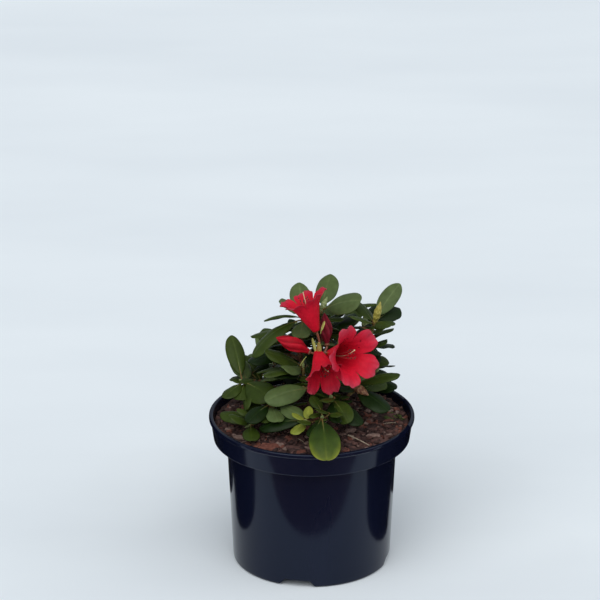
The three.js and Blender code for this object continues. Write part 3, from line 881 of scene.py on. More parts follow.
# Leaves: a cupped blade with a sunk midrib, side veins between raised cushions, and a waxy skin
leafBuild = {
    "stations": 30,  # from the blade's foot to its tip
    "halfColumns": (0.045, 0.14, 0.3, 0.5, 0.7, 0.87, 0.96, 1.0),  # from the midrib to the margin
    "thickness": 0.45,
    "ribDepth": 0.35,
    "veins": 7,
    "cushion": 0.16,  # how high the blade stands between its veins
    "wave": 0.035,  # of the margin
    "blunt": 0.13,  # how full the tip is
    "stalkRadius": 0.75,
    "stalkSides": 8,
    "stalkSteps": 12,
    "seed": 7001,
}
leafTones = {
    # the pale leaves' paleness is partly their own glaucous tone and partly painted sheen, the sky's gloss on
    # their tops
    "pale": [(0.0, (0.046, 0.074, 0.018)), (0.5, (0.082, 0.118, 0.040)), (1.0, (0.17, 0.22, 0.09))],
    "mid": [(0.0, (0.017, 0.032, 0.003)), (0.5, (0.032, 0.052, 0.006)), (1.0, (0.08, 0.115, 0.025))],
    "dark": [(0.0, (0.004, 0.011, 0.001)), (0.5, (0.007, 0.019, 0.002)), (1.0, (0.025, 0.047, 0.007))],
    "young": [(0.0, (0.11, 0.14, 0.015)), (0.5, (0.22, 0.25, 0.035)), (1.0, (0.36, 0.36, 0.08))],
    # the front leaf: dark at its foot as painted shadow of the leaves above it, and yellow along its margin
    # towards the tip
    "edgedShadedBase": [(0.0, (0.012, 0.028, 0.004)), (0.42, (0.042, 0.070, 0.007)), (0.7, (0.125, 0.155, 0.015)),
              (1.0, (0.27, 0.28, 0.045))],
    "under": [(0.0, (0.06, 0.09, 0.025)), (0.5, (0.10, 0.135, 0.045)), (1.0, (0.17, 0.20, 0.08))],
    "stalk": [(0.0, (0.17, 0.035, 0.02)), (0.5, (0.13, 0.10, 0.03)), (1.0, (0.11, 0.15, 0.045))],
}
leafSkin = {"roughness": (0.36, 0.55), "mottle": 0.16, "bump": 0.25, "shine": 0.15}
toneOrder = list(leafTones)


def addLeaf(heap, leaf, draw):
    build, blunt = leafBuild, leafBuild["blunt"]
    half = np.array(build["halfColumns"])
    t = np.concatenate([-half[::-1], [0.0], half])
    b = 0.5 - 0.5 * np.cos(np.linspace(0.02, 0.985, build["stations"]) * math.pi)
    s = blade["stalk"] + (1 - blade["stalk"]) * b
    phase, waves = draw(0, 6.28), draw(1.6, 2.8)
    bs, ts = np.meshgrid(b, t, indexing="ij")
    ss = np.meshgrid(s, t, indexing="ij")[0]
    halfWidth = leaf["width"] / 2 * bladeOutline(bs, blunt)
    offRib = np.abs(ts) * halfWidth
    size = leaf["length"] / 45
    rib = np.exp(-((offRib / (0.75 * size)) ** 2)) * (1 - 0.6 * bs)
    vein = np.cos(2 * math.pi * (bs * build["veins"] - np.abs(ts) * 1.15))
    cushion = build["cushion"] * size * (1 - vein) * np.abs(ts) * (1 - np.abs(ts) ** 4)
    wave = build["wave"] * halfWidth * np.sin(waves * 2 * math.pi * bs + phase + 1.3 * np.sign(ts)) * ts**2
    rolled = -0.6 * size * np.maximum(0, np.abs(ts) - 0.8) / 0.2
    body = build["thickness"] * size * np.sqrt(np.maximum(0, 1 - ts**6)) / 2
    relief = cushion + wave + rolled - build["ribDepth"] * size * rib
    top = leafPoints(leaf, ss, ts, relief + body, blunt)
    under = leafPoints(leaf, ss, ts, relief - body - 0.35 * size * rib, blunt)[:, 1:-1]
    columns = len(t)
    rows = len(b)
    topFaces = gridFaces(rows, columns)
    firstUnder = rows * columns
    inner = np.arange(rows * (columns - 2)).reshape(rows, columns - 2) + firstUnder
    edges = np.arange(firstUnder).reshape(rows, columns)
    wrapped = np.concatenate([edges[:, :1], inner, edges[:, -1:]], axis=1)
    quads = [wrapped[:-1, :-1], wrapped[1:, :-1], wrapped[1:, 1:], wrapped[:-1, 1:]]
    lowerFaces = np.stack(quads, -1).reshape(-1, 4)
    tipFan = np.stack([edges[-1, :-1], edges[-1, 1:], wrapped[-1, 1:], wrapped[-1, :-1]], -1)[1:-1]
    footFan = np.stack([edges[0, 1:], edges[0, :-1], wrapped[0, :-1], wrapped[0, 1:]], -1)[1:-1]
    ends = [(r, c, d) for r in (0, -1) for c, d in ((0, 1), (-1, -2))]
    corners = np.array([[edges[r, c], edges[r, d], wrapped[r, d]] for r, c, d in ends])
    margin = np.maximum(0, np.abs(ts) - 0.55) / 0.45
    shade = 0.42 + 0.34 * rib + 0.1 * margin - 0.12 * (1 - bs)
    shade = shade + 0.07 * np.maximum(0, vein) ** 3 * (1 - np.abs(ts))
    # the front leaf's shade rises from its foot, which is kept dark as painted shadow of the leaves above,
    # and its margin yellows towards the tip
    if leaf["tone"] == "edgedShadedBase":
        shade = 0.64 * bs**1.3 + 0.42 * margin**1.2 * np.minimum(1, 0.2 + bs) + 0.2 * rib
    shade = np.clip(shade + draw(-0.08, 0.08), 0, 1)
    topLook = toneOrder.index(leaf["tone"])
    underLook = toneOrder.index("under")
    faces = [topFaces, lowerFaces, tipFan, footFan, corners]
    looks = np.concatenate(
        [np.full(len(topFaces), topLook), np.full(len(lowerFaces), underLook)]
        + [np.full(len(block), topLook) for block in faces[2:]]
    )
    points = np.concatenate([top.reshape(-1, 3), under.reshape(-1, 3)])
    shades = np.concatenate([shade.ravel(), (0.35 + 0.5 * rib)[:, 1:-1].ravel()])
    heap.add(points, faces, looks, shades)
    # the stalk runs on under the blade as the raised back of its midrib
    along = np.linspace(-0.02, blade["stalk"] + 0.3, build["stalkSteps"])
    taper = np.linspace(1.0, 0.45, build["stalkSteps"]) * build["stalkRadius"] * math.sqrt(size)
    sunk = np.where(along > blade["stalk"], -0.35 * size, 0.0)
    middle = leafPoints(leaf, along, 0.0, sunk)
    redness = np.repeat(np.linspace(0.15, 0.95, build["stalkSteps"]), build["stalkSides"])
    stalkPoints, stalkFaces = tube(middle, taper, build["stalkSides"])
    heap.add(stalkPoints, stalkFaces, toneOrder.index("stalk"), np.concatenate([redness, [0.15, 0.95]]))


# the leaves are joined into three pieces, each of them for some of the masses
leafPieces = {
    "upperLeaves": ("top_leaves", "upper_left_leaves", "upper_right_leaves", "flower_truss", "back_leaves"),
    "lowerLeaves": ("middle_left_leaves", "far_left_leaves", "lower_left_leaves", "front_leaves",
                    "lower_right_leaves"),
    "lowerBackLeaves": ("back_left_leaves", "back_right_leaves"),
}


def makeLeaves(leaves):
    materials = livingMaterials("leaf ", leafSkin, leafTones)
    pieceOf = {node: piece for piece, nodes in leafPieces.items() for node in nodes}
    heaps = {piece: Heap() for piece in leafPieces}
    placed = [(pieceOf[masses[leaf["mass"]]["name"]], leaf) for leaf in leaves]
    placed.sort(key=lambda pair: pair[0] != "upperLeaves")  # the upper leaves draw their shades first
    draw = seeded(leafBuild["seed"])
    for piece, leaf in placed:
        addLeaf(heaps[piece], leaf, draw)
    for piece, nodes in leafPieces.items():
        makePiece(piece, heaps[piece], materials, nodes)


# Wood: furrowed bark on the trunk and boughs, smoother skin on the twigs
woodBuild = {
    "trunkSides": 44,
    "trunkSteps": 70,
    "boughSides": 26,
    "furrow": 0.55,
    "furrowCount": 5.0,
    "knot": 0.5,  # the height of its lumps
    "stemSides": 16,
    "twigSides": 12,
    "leafScar": 0.28,
    "shootRadii": (0.85, 0.65),
    "shootSides": 8,
}
woodTones = {
    "trunkBark": {
        "scale": 260.0, "stretch": (1.0, 1.0, 0.3), "roughness": (0.75, 0.95), "bump": 0.7,
        "stops": [(0.3, (0.028, 0.014, 0.009)), (0.5, (0.085, 0.045, 0.030)), (0.7, (0.16, 0.10, 0.07))],
    },
    "twigBark": {
        "scale": 420.0, "roughness": (0.5, 0.7), "bump": 0.35,
        "stops": [(0.3, (0.075, 0.022, 0.014)), (0.5, (0.15, 0.055, 0.03)), (0.72, (0.20, 0.11, 0.05))],
    },
    "youngBark": {
        "scale": 420.0, "roughness": (0.45, 0.65), "bump": 0.25,
        "stops": [(0.3, (0.12, 0.055, 0.02)), (0.5, (0.17, 0.12, 0.035)), (0.7, (0.22, 0.19, 0.06))],
    },
}


def barkRelief(path, seed, strength):
    # furrows that run along the limb, wandering and broken up
    lengths = np.concatenate([[0], np.cumsum(np.linalg.norm(np.diff(path, axis=0), axis=1))])
    furrows = woodBuild["furrowCount"]

    def roughen(i, turns):
        found = []
        for turn in turns:
            place = Vector((math.cos(turn) * furrows, math.sin(turn) * furrows, lengths[i] * 0.16 + seed))
            ridge = 1 - abs(noise.noise(place)) * 3.0
            lump = noise.noise(Vector((math.cos(turn), math.sin(turn), lengths[i] * 0.11 + seed * 3)))
            found.append(strength * (ridge * woodBuild["furrow"] * 0.5 + lump * woodBuild["knot"]))
        return np.array(found)

    return roughen


def makeWood():
    # each limb's core is a little thinner than the limb, and the bark's ridges make up for it
    heap = Heap()
    path = bezier(*trunkCurve(), woodBuild["trunkSteps"])
    height = path[:, 2] - path[0, 2]
    share = height / height[-1]
    flare = (trunk["flareRadius"] - trunk["radius"]) * np.maximum(0, 1 - height / trunk["flareHeight"]) ** 2
    radii = trunk["radius"] + (trunk["topRadius"] - trunk["radius"]) * share + flare - 0.3
    path[0, 2] -= 0.3
    relief = barkRelief(path, 4.0, 1.0)

    def rooted(i, turns):
        spread = np.maximum(0, 1 - height[i] / trunk["flareHeight"]) * np.cos(5 * turns + 0.7) * 0.9
        return relief(i, turns) + spread

    heap.add(*tube(path, radii, woodBuild["trunkSides"], rooted))
    for k, mass in enumerate(masses):
        path = mass["boughPath"]
        radii = np.linspace(bough["radius"], bough["tipRadius"], len(path)) - 0.15
        heap.add(*tube(path, radii, woodBuild["boughSides"], barkRelief(path, 11.0 * k + 9, 0.55)))
    limbs = ["trunk"] + [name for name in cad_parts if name.endswith("_bough")]
    makePiece("barkedLimbs", heap, [earthMaterial("trunk bark", woodTones["trunkBark"])], limbs)


def makeTwigs(sideShoots):
    heap = Heap()
    for mass in masses:
        low, high = mass["stem"]
        path = np.linspace(low - (high - low) * 0.1, high, 8)
        radii = np.linspace(bough["tipRadius"], twig["radius"], len(path)) - 0.1
        heap.add(*tube(path, radii, woodBuild["stemSides"]), look=0)
        for shoot in mass["shoots"]:
            path = shoot["path"]
            radii = np.linspace(twig["radius"], twig["tipRadius"], len(path))
            scars = seeded(300 + shoot["number"])
            # rings of old leaf scars
            radii = radii + np.array([woodBuild["leafScar"] * (scars(0, 1) > 0.72) for _ in path])
            points, (walls, caps) = tube(path, radii, woodBuild["twigSides"])
            young = np.repeat(np.arange(len(path) - 1) > len(path) * 0.62, woodBuild["twigSides"])
            endLooks = np.repeat([0, 1], woodBuild["twigSides"])
            heap.add(points, [walls, caps], np.concatenate([young.astype(int), endLooks]))
    for shoot in sideShoots:
        middle = (shoot["foot"] + shoot["tip"]) / 2 - (0, 0, 1.2)
        path = bezier(shoot["foot"], middle, shoot["tip"], 9)
        radii = np.linspace(*woodBuild["shootRadii"], len(path))
        heap.add(*tube(path, radii, woodBuild["shootSides"]), look=1)
    materials = [earthMaterial("twig bark", woodTones["twigBark"]),
                 earthMaterial("young bark", woodTones["youngBark"])]
    makePiece("twigs", heap, materials, [mass["name"] for mass in masses])


# Buds of the leaf shoots: pointed, with scales that overlap like tiles
budBuild = {
    "steps": 34,
    "sides": 30,
    "rows": 4,
    "scale": 0.16,  # how far the scales stand out
    "girth": ((0, 0.45), (0.25, 0.95), (0.5, 1.0), (0.75, 0.66), (0.93, 0.28), (1, 0.08)),
    "seed": 811,
}
budSkin = {"roughness": (0.4, 0.6), "mottle": 0.2, "bump": 0.3}
budTones = {
    "green": [(0.0, (0.10, 0.14, 0.04)), (0.5, (0.20, 0.25, 0.09)), (1.0, (0.34, 0.38, 0.17))],
    "yellow": [(0.0, (0.22, 0.20, 0.03)), (0.5, (0.38, 0.33, 0.06)), (1.0, (0.55, 0.48, 0.12))],
    "brown": [(0.0, (0.10, 0.035, 0.022)), (0.5, (0.21, 0.085, 0.045)), (1.0, (0.36, 0.24, 0.11))],
}
tipBud = {"length": 6.0, "radius": 1.5}  # at the end of every leafy shoot


def addBud(heap, foot, heading, rise, length, radius, look):
    along, side, up = directions(heading, rise)
    steps, sides = budBuild["steps"], budBuild["sides"]
    x = np.linspace(0, 1, steps)
    girth = np.interp(x, *zip(*budBuild["girth"]))
    turns = np.arange(sides) * 2 * math.pi / sides
    xs, ts = np.meshgrid(x, turns, indexing="ij")
    # each scale is a raised tongue, and the next row starts half a scale round
    row = xs * budBuild["rows"]
    swing = np.cos(ts * 3 + np.floor(row - 0.5 * np.cos(ts * 3)) * math.pi)
    step = (row - 0.45 * np.abs(swing)) % 1.0
    scaleLift = 1 + budBuild["scale"] * (step - 0.5) * (1 - xs**3)
    r = radius * np.repeat(girth[:, None], sides, axis=1) * scaleLift
    points = foot + (xs * (length + 1) - 1)[..., None] * along + r[..., None] * spoke(ts, side, up)
    shade = np.clip(0.15 + 0.75 * step, 0, 1)
    ends = [foot - along * 1.4, foot + along * (length + 0.3)]
    points = np.concatenate([points.reshape(-1, 3), ends])
    heap.add(points, closedRings(steps, sides), look, np.append(shade.ravel(), [0.2, 0.9]))


def makeBuds():
    heap = Heap()
    tones = list(budTones)
    draw = seeded(budBuild["seed"])
    for mass in masses:
        for shoot in mass["shoots"]:
            tip = np.array(shoot["tip"], float)
            for heading, rise, length, radius, tone in shoot.get("buds", []):
                addBud(heap, tip, heading, rise, length, radius, tones.index(tone))
            if "flowers" in shoot:
                continue
            way = shoot["direction"]
            heading = math.degrees(math.atan2(way[1], way[0]))
            rise = math.degrees(math.asin(way[2]))
            size = draw(0.8, 1.2)
            addBud(heap, tip, heading, rise, tipBud["length"] * size, tipBud["radius"], tones.index("green"))
    makePiece("leafBuds", heap, livingMaterials("bud ", budSkin, budTones))


# Blossom: funnels of five wavy lobes, closed buds, stalks, green scales, stamens and style
petalBuild = {
    "lobeColumns": 22,
    "tubeRows": 14,
    "lobeRows": 18,
    "thickness": 0.34,
    "ripple": 1.15,  # of a lobe's frilled margin
    "lobeCup": 1.6,
    "lobeSway": 2.0,
    "spots": 26,  # dark freckles in each bell
    "spotSides": 8,
    "seed": 4409,
}
closedBuild = {
    "steps": 44,
    "sides": 50,
    "petals": 5,
    "wind": 1.6,  # how far the petals wind round each other, in petals
    "bow": 0.9,
    "girth": ((0, 0.34), (0.12, 0.5), (0.3, 0.86), (0.52, 1.0), (0.72, 0.82), (0.88, 0.45), (1, 0.1)),
}
petalTones = {
    # the petal's pinkish pale end, out at the lobes' margins, is painted sheen, and its deep start, down the
    # inside of the throat, is painted shade
    "petal": [(0.0, (0.34, 0.004, 0.014)), (0.35, (0.56, 0.007, 0.024)), (0.65, (0.52, 0.009, 0.030)),
              (0.88, (0.46, 0.030, 0.058)), (1.0, (0.44, 0.09, 0.12))],
    "budRed": [(0.0, (0.15, 0.002, 0.006)), (0.5, (0.40, 0.004, 0.015)), (1.0, (0.55, 0.025, 0.045))],
    # the darker maroon bud tone is painted shade: the red bud, darkened where it stands behind in shadow
    "budRedInShade": [(0.0, (0.06, 0.003, 0.007)), (0.5, (0.16, 0.006, 0.016)), (1.0, (0.27, 0.025, 0.045))],
    "spot": [(0.0, (0.06, 0.001, 0.005)), (1.0, (0.10, 0.002, 0.008))],
}
petalSkin = {"roughness": (0.45, 0.6), "mottle": 0.1, "bump": 0.25, "shine": 0.1, "blotches": 260.0}


def offMiddle(turn):
    # from the nearest lobe's middle at 0 to its sides at -1 and 1
    return (turn - np.round(turn / lobeTurn) * lobeTurn) / (lobeTurn / 2)


def bellRelief(s, turn, draw):
    # ribs along the tube, each lobe cupped, swayed and rippled towards its margin
    lobe = np.round(turn / lobeTurn).astype(int) % bell["lobes"]
    off = offMiddle(turn)
    sway = np.array([draw(-1, 1) for _ in range(bell["lobes"])]) * petalBuild["lobeSway"]
    phase = np.array([draw(0, 6.28) for _ in range(bell["lobes"])])
    past = np.clip(s, 0, None)
    rib = -0.5 * np.exp(-((off / 0.12) ** 2)) * (1 - past) * np.minimum(1, s + 1)
    fold = -1.0 * np.abs(off) ** 3 * np.exp(-((s / 0.35) ** 2)) * np.minimum(1, (s + 1) * 2)
    cup = -petalBuild["lobeCup"] * off**2 * past
    ripple = petalBuild["ripple"] * past**1.6 * np.sin(off * 7.5 + phase[lobe] + 2.2 * past)
    fine = 0.45 * past**3 * np.sin(off * 19 + 2 * phase[lobe])
    return rib + fold + cup + ripple + fine + sway[lobe] * past**2, off


def addBell(heap, flower, draw):
    build = petalBuild
    columns = build["lobeColumns"] * bell["lobes"]
    turn = np.arange(columns) * 360 / columns
    off = np.abs(offMiddle(turn))
    end = bell["notch"] + (1 - bell["notch"]) * np.maximum(0, 1 - off**2.3) ** 0.5
    end = end - 0.06 * np.exp(-((off / 0.14) ** 2)) + 0.03 * np.sin(turn * 0.31 + draw(0, 6)) * end
    tubeS = np.linspace(-1, 0, build["tubeRows"])[:-1]
    lobeS = np.linspace(0, 1, build["lobeRows"])
    s = np.concatenate([np.repeat(tubeS[:, None], columns, 1), lobeS[:, None] * end[None, :]])
    turns = np.repeat(turn[None, :], len(s), 0)
    relief, offs = bellRelief(s, turns, draw)
    body = build["thickness"] * (1 - 0.5 * np.clip(s, 0, 1)) / 2
    outer = bellPoints(flower, s, turns, relief + body)
    inner = bellPoints(flower, s, turns, relief - body)[1:]
    rows = len(s)
    outerFaces = gridFaces(rows, columns, closed=True)
    innerFaces = gridFaces(rows - 1, columns, closed=True) + rows * columns
    around = np.arange(columns)
    following = (around + 1) % columns
    rim = (rows - 1) * columns
    innerRim = rows * columns + (rows - 2) * columns
    margin = np.stack([rim + around, rim + following, innerRim + following, innerRim + around], -1)
    caps = endFans(columns, rows * columns, rows * columns + (rows - 1) * columns)
    foot = np.array(flower["foot"], float)
    along = directions(flower["heading"], flower["rise"])[0]
    centres = [foot - along * 0.8, foot + along * flower["tube"] / (build["tubeRows"] - 1) * 0.8]
    vein = np.exp(-((np.abs(offs) % 0.25 - 0.125) ** 2) / 0.0012) * 0.08
    # outside, the bell pales towards its lobes' margins as painted sheen; inside, it darkens down into the
    # throat as painted shade
    shade = np.where(s < 0, 0.42 + 0.1 * s, 0.42 + 0.5 * np.clip(s, 0, 1) ** 1.3) - vein
    shadeIn = np.where(s < 0, 0.12 + 0.25 * (1 + s), 0.37 + 0.6 * np.clip(s, 0, 1) ** 1.2) - vein
    shades = np.clip(np.concatenate([shade.ravel(), shadeIn[1:].ravel(), [0.2, 0.05]]), 0, 1)
    points = np.concatenate([outer.reshape(-1, 3), inner.reshape(-1, 3), centres])
    heap.add(points, [outerFaces, innerFaces, margin, caps], 0, shades)


def addSpots(heap, flower, draw):
    # small dark freckles inside the upper lobe, down into the throat
    sides = petalBuild["spotSides"]
    for _ in range(petalBuild["spots"]):
        turn = 90 - flower["turn"] + draw(-30, 30)
        turn = round(turn / lobeTurn) * lobeTurn + draw(-20, 20)
        s = draw(-0.35, 0.45)
        middle = bellPoints(flower, s, turn, -0.75)
        near = bellPoints(flower, s + 0.02, turn, -0.75)
        across = bellPoints(flower, s, turn + 2.5, -0.75)
        a, c = unit(near - middle) * draw(0.5, 0.95), unit(across - middle) * draw(0.3, 0.5)
        out = unit(np.cross(a, c)) * 0.22
        ring = middle + spoke(np.arange(sides) * 2 * math.pi / sides, a, c)
        points = np.concatenate([ring, [middle + out, middle - out]])
        heap.add(points, [endFans(sides, 0, sides)], list(petalTones).index("spot"), 0.5)


def addClosedFlower(heap, flower, draw):
    # five folded petals wound round each other to a point
    along, side, up = directions(flower["heading"], flower["rise"])
    steps, sides = closedBuild["steps"], closedBuild["sides"]
    x = np.linspace(0, 1, steps)
    girth = np.interp(x, *zip(*closedBuild["girth"]))
    turns = np.arange(sides) * 2 * math.pi / sides
    xs, ts = np.meshgrid(x, turns, indexing="ij")
    turn = ts * closedBuild["petals"] / (2 * math.pi) + xs * closedBuild["wind"]
    wound = (turn + flower["radius"] * 0.1) % 1.0
    fold = np.where(wound < 0.82, wound / 0.82, (1 - wound) / 0.18)
    r = flower["radius"] * girth[:, None] * (0.84 + 0.2 * fold * np.minimum(1, xs * 3))
    bow = closedBuild["bow"] * np.sin(xs * math.pi)
    foot = np.array(flower["foot"], float)
    middle = foot + (xs * flower["length"])[..., None] * along + bow[..., None] * up
    ends = [middle[0, 0] - along * 0.8, middle[-1, 0] + along * 0.5]
    points = np.concatenate([(middle + r[..., None] * spoke(ts, side, up)).reshape(-1, 3), ends])
    shade = np.clip(0.15 + 0.6 * fold * np.minimum(1, xs * 2 + 0.3) + draw(-0.05, 0.05), 0, 1)
    look = list(petalTones).index(flower["tone"])
    heap.add(points, closedRings(steps, sides), look, np.append(shade.ravel(), [0.1, 0.6]))


def makePetals():
    heap = Heap()
    draw = seeded(petalBuild["seed"])
    for flower in flowers:
        if "tube" in flower:
            addBell(heap, flower, draw)
            addSpots(heap, flower, draw)
        else:
            addClosedFlower(heap, flower, draw)
    materials = livingMaterials("flower ", petalSkin, petalTones)
    makePiece("petals", heap, materials, ["flower_truss"])


# What holds the bells and stands in them
trussBuild = {
    "filaments": 9,
    "filamentRadius": 0.32,
    "anther": (1.5, 0.6),  # length and radius
    "styleRadius": 0.42,
    "styleReach": 11.0,  # past the mouth of the bell
    "stalkRadius": 0.85,
    "stalkSides": 12,
    "stalkSteps": 18,
    "calyx": 2.6,
    "calyxSides": 16,
    "threadSteps": 22,
    "threadSides": 7,
    "beadSteps": 9,
    "beadSides": 10,
    "seed": 917,
}
trussSkin = {"roughness": (0.4, 0.6), "mottle": 0.15}
trussTones = {
    "filament": [(0.0, (0.34, 0.006, 0.018)), (1.0, (0.52, 0.035, 0.045))],
    "anther": [(0.0, (0.03, 0.012, 0.01)), (1.0, (0.09, 0.035, 0.02))],
    "style": [(0.0, (0.55, 0.38, 0.22)), (1.0, (0.68, 0.56, 0.34))],
    "flowerStalk": [(0.0, (0.13, 0.05, 0.025)), (0.5, (0.22, 0.07, 0.035)), (1.0, (0.30, 0.12, 0.07))],
    "bract": [(0.0, (0.27, 0.29, 0.06)), (0.5, (0.44, 0.46, 0.13)), (1.0, (0.60, 0.60, 0.30))],
}
# green scales round the foot of the truss: base, then heading, rise, length, droop, roll and width
bracts = [
    ((7, -19, 207), -95, 68, 19, 25, 0, 4.2),
    ((4, -18, 208), -130, 74, 20, 20, 10, 3.4),
    ((12, -19, 206), -60, 50, 12, 30, -10, 4),
    ((-5, -18, 207), 178, -58, 11, 30, 20, 6),
    ((17, -24, 200), -30, -62, 19, 25, 10, 3.4),
    ((8, -13, 228), 30, 70, 12, 30, 0, 4),
]


def addTrussPart(heap, part, tone, shade):
    points, faces = part
    heap.add(points, faces, list(trussTones).index(tone), shade)


def addStamens(heap, flower, draw):
    along, side, up = directions(flower["heading"], flower["rise"])
    foot = np.array(flower["foot"], float)
    sky = np.array([0.0, 0.0, 1.0])
    steps, sides = trussBuild["threadSteps"], trussBuild["threadSides"]
    for k in range(trussBuild["filaments"] + 1):
        isStyle = k == trussBuild["filaments"]
        angle = 2 * math.pi * k / trussBuild["filaments"] + draw(-0.3, 0.3)
        out = spoke(angle, side, up)
        reach = flower["tube"] + (trussBuild["styleReach"] if isStyle else draw(5, 11))
        wide = 1.5 if isStyle else draw(3.0, 5.0)
        droop = -sky * (5.0 if isStyle else 2.5)
        middle = foot + along * reach * 0.55 + out * wide * 0.6 + droop
        end = foot + along * reach + out * wide + sky * (6.0 if isStyle else draw(0.5, 2.5))
        path = bezier(foot + along * 1.5, middle, end, steps)
        radius = trussBuild["styleRadius"] if isStyle else trussBuild["filamentRadius"]
        tone = "style" if isStyle else "filament"
        thread = tube(path, np.full(steps, radius), sides)
        addTrussPart(heap, thread, tone, np.append(np.repeat(np.linspace(0, 1, steps), sides), [0, 1]))
        way = unit(path[-1] - path[-2])
        length, girth = (0.9, 0.75) if isStyle else trussBuild["anther"]
        x = np.linspace(-1, 1, trussBuild["beadSteps"])
        bead = path[-1] + x[:, None] * way * length / 2
        swell = girth * np.sqrt(np.maximum(0.03, 1 - x**2))
        addTrussPart(heap, tube(bead, swell, trussBuild["beadSides"]), "style" if isStyle else "anther", 0.5)


def makeTrussParts():
    heap = Heap()
    draw = seeded(trussBuild["seed"])
    steps = trussBuild["stalkSteps"]
    shoot = next(s for mass in masses for s in mass["shoots"] if "flowers" in s)
    tip = np.array(shoot["tip"], float)
    for flower in flowers:
        foot = np.array(flower["foot"], float)
        along = directions(flower["heading"], flower["rise"])[0]
        control = foot - along * np.linalg.norm(foot - tip) * 0.45
        path = bezier(tip, control, foot + along * 0.8, steps)
        swell = np.linspace(1.0, 1.25, steps) * trussBuild["stalkRadius"]
        addTrussPart(heap, tube(path, swell, trussBuild["stalkSides"]), "flowerStalk", 0.5)
        x = np.linspace(-1, 1, trussBuild["beadSteps"])
        cup = foot + along * (x[:, None] * 1.4)
        calyx = tube(cup, trussBuild["calyx"] * np.sqrt(1.02 - x**2 * 0.8), trussBuild["calyxSides"])
        addTrussPart(heap, calyx, "flowerStalk", 0.35)
        if "tube" in flower:
            addStamens(heap, flower, draw)
    makePiece("trussParts", heap, livingMaterials("", trussSkin, trussTones))
    scales = Heap()
    for base, *numbers in bracts:
        leaf = dict(zip(leafNumbers, numbers), base=np.array(base, float), tone="young")
        addLeaf(scales, leaf, draw)
    tones = dict.fromkeys(leafTones, trussTones["bract"])
    makePiece("trussScales", scales, livingMaterials("scale ", leafSkin, tones))


# The pot: turned from its profile, with notches cut in its foot and holes in its floor
pot = {
    "height": 143.0,
    "lipRadius": 95.0,
    "lipDepth": 3.6,
    "collarTop": 93.5,
    "collarFoot": 90.7,
    "collarDepth": 23.0,
    "bodyTop": 78.6,
    "bodyFoot": 73.4,
    "footCorner": 4.0,
    "wall": 2.4,
    "channelInner": 45.0,
    "channelOuter": 66.0,
    "channelRise": 6.0,
    "facets": 288,
    "roundSteps": 6,
}
# the notches' widths at the foot and the top, and how far in they reach
footNotch = {"count": 4, "first": -10.8, "foot": 37.0, "top": 24.0, "rise": 7.0, "inner": 58.0}
drainHole = {"count": 8, "radius": 4.5, "ring": 56.0, "sides": 32}
potFinish = {
    "base": (0.0028, 0.0040, 0.0140),
    "bluerStreak": (0.0040, 0.0054, 0.0175),
    "roughness": (0.10, 0.16),
    "shine": 0.33,
    "shineTint": (0.66, 0.79, 1.0),
    "grain": 900.0,
    "bump": 0.04,
}


def roundCorners(profile, radii):
    # a corner with a radius becomes an arc of a few points
    smooth = []
    for i, (corner, radius) in enumerate(zip(profile, radii)):
        here = np.array(corner, float)
        if not radius:
            smooth.append(here)
            continue
        before, after = np.array(profile[i - 1], float), np.array(profile[(i + 1) % len(profile)], float)
        toBefore, toAfter = before - here, after - here
        reach = min(radius, np.linalg.norm(toBefore) * 0.45, np.linalg.norm(toAfter) * 0.45)
        ends = here + unit(toBefore) * reach, here + unit(toAfter) * reach
        smooth.extend(bezier(ends[0], here, ends[1], pot["roundSteps"]))
    return np.array(smooth)


def potProfile():
    p = pot
    ledge = p["height"] - p["collarDepth"]
    shelf = p["channelRise"] + p["wall"]
    slope = (p["bodyTop"] - p["bodyFoot"] + 0.2) / (ledge - 2)
    rings = [footNotch["rise"] + rise for rise in (2, 8)]  # so that the notches don't crease the wall
    return [
        ((0, 0), 0),
        ((p["channelInner"] - 1, 0), 0.5),
        ((p["channelInner"], p["channelRise"]), 0.5),
        ((p["channelOuter"], p["channelRise"]), 0.5),
        ((p["channelOuter"] + 1, 0), 0.5),
        ((p["bodyFoot"] - 0.2, 0), p["footCorner"]),
        *[((p["bodyFoot"] - 0.2 + slope * z, z), 0) for z in rings],
        ((p["bodyTop"], ledge - 2), 1.2),
        ((p["bodyTop"] + 2, ledge), 1.2),
        ((p["collarFoot"], ledge), 1.1),
        ((p["collarTop"] - 0.1, p["height"] - p["lipDepth"] - 0.6), 0.7),
        ((p["lipRadius"], p["height"] - p["lipDepth"]), 1.1),
        ((p["lipRadius"], p["height"]), 1.5),
        ((p["collarTop"] - p["wall"], p["height"]), 1.3),
        ((p["collarTop"] - p["wall"] - 0.5, p["height"] - p["lipDepth"]), 0.8),
        ((p["collarFoot"] - p["wall"] - 0.5, ledge + p["wall"]), 1.5),
        ((p["bodyTop"] - p["wall"], ledge - 2), 1.0),
        ((p["bodyFoot"] - p["wall"], shelf), 2.0),
        ((p["channelInner"] + 3, shelf), 0),
        ((p["channelInner"] + 1, p["wall"]), 0),
        ((0, p["wall"]), 0),
    ]


def turnedShape(profile, facets):
    # a closed shape turned about the upright axis, from a profile that starts and ends on it
    turns = np.arange(facets) * 2 * math.pi / facets
    rings = profile[1:-1]
    x = rings[:, 0][:, None] * np.cos(turns)
    y = rings[:, 0][:, None] * np.sin(turns)
    z = np.repeat(rings[:, 1][:, None], facets, 1)
    ends = [(0, 0, profile[0][1]), (0, 0, profile[-1][1])]
    points = np.concatenate([np.stack([x, y, z], -1).reshape(-1, 3), ends])
    return points, closedRings(len(rings), facets)


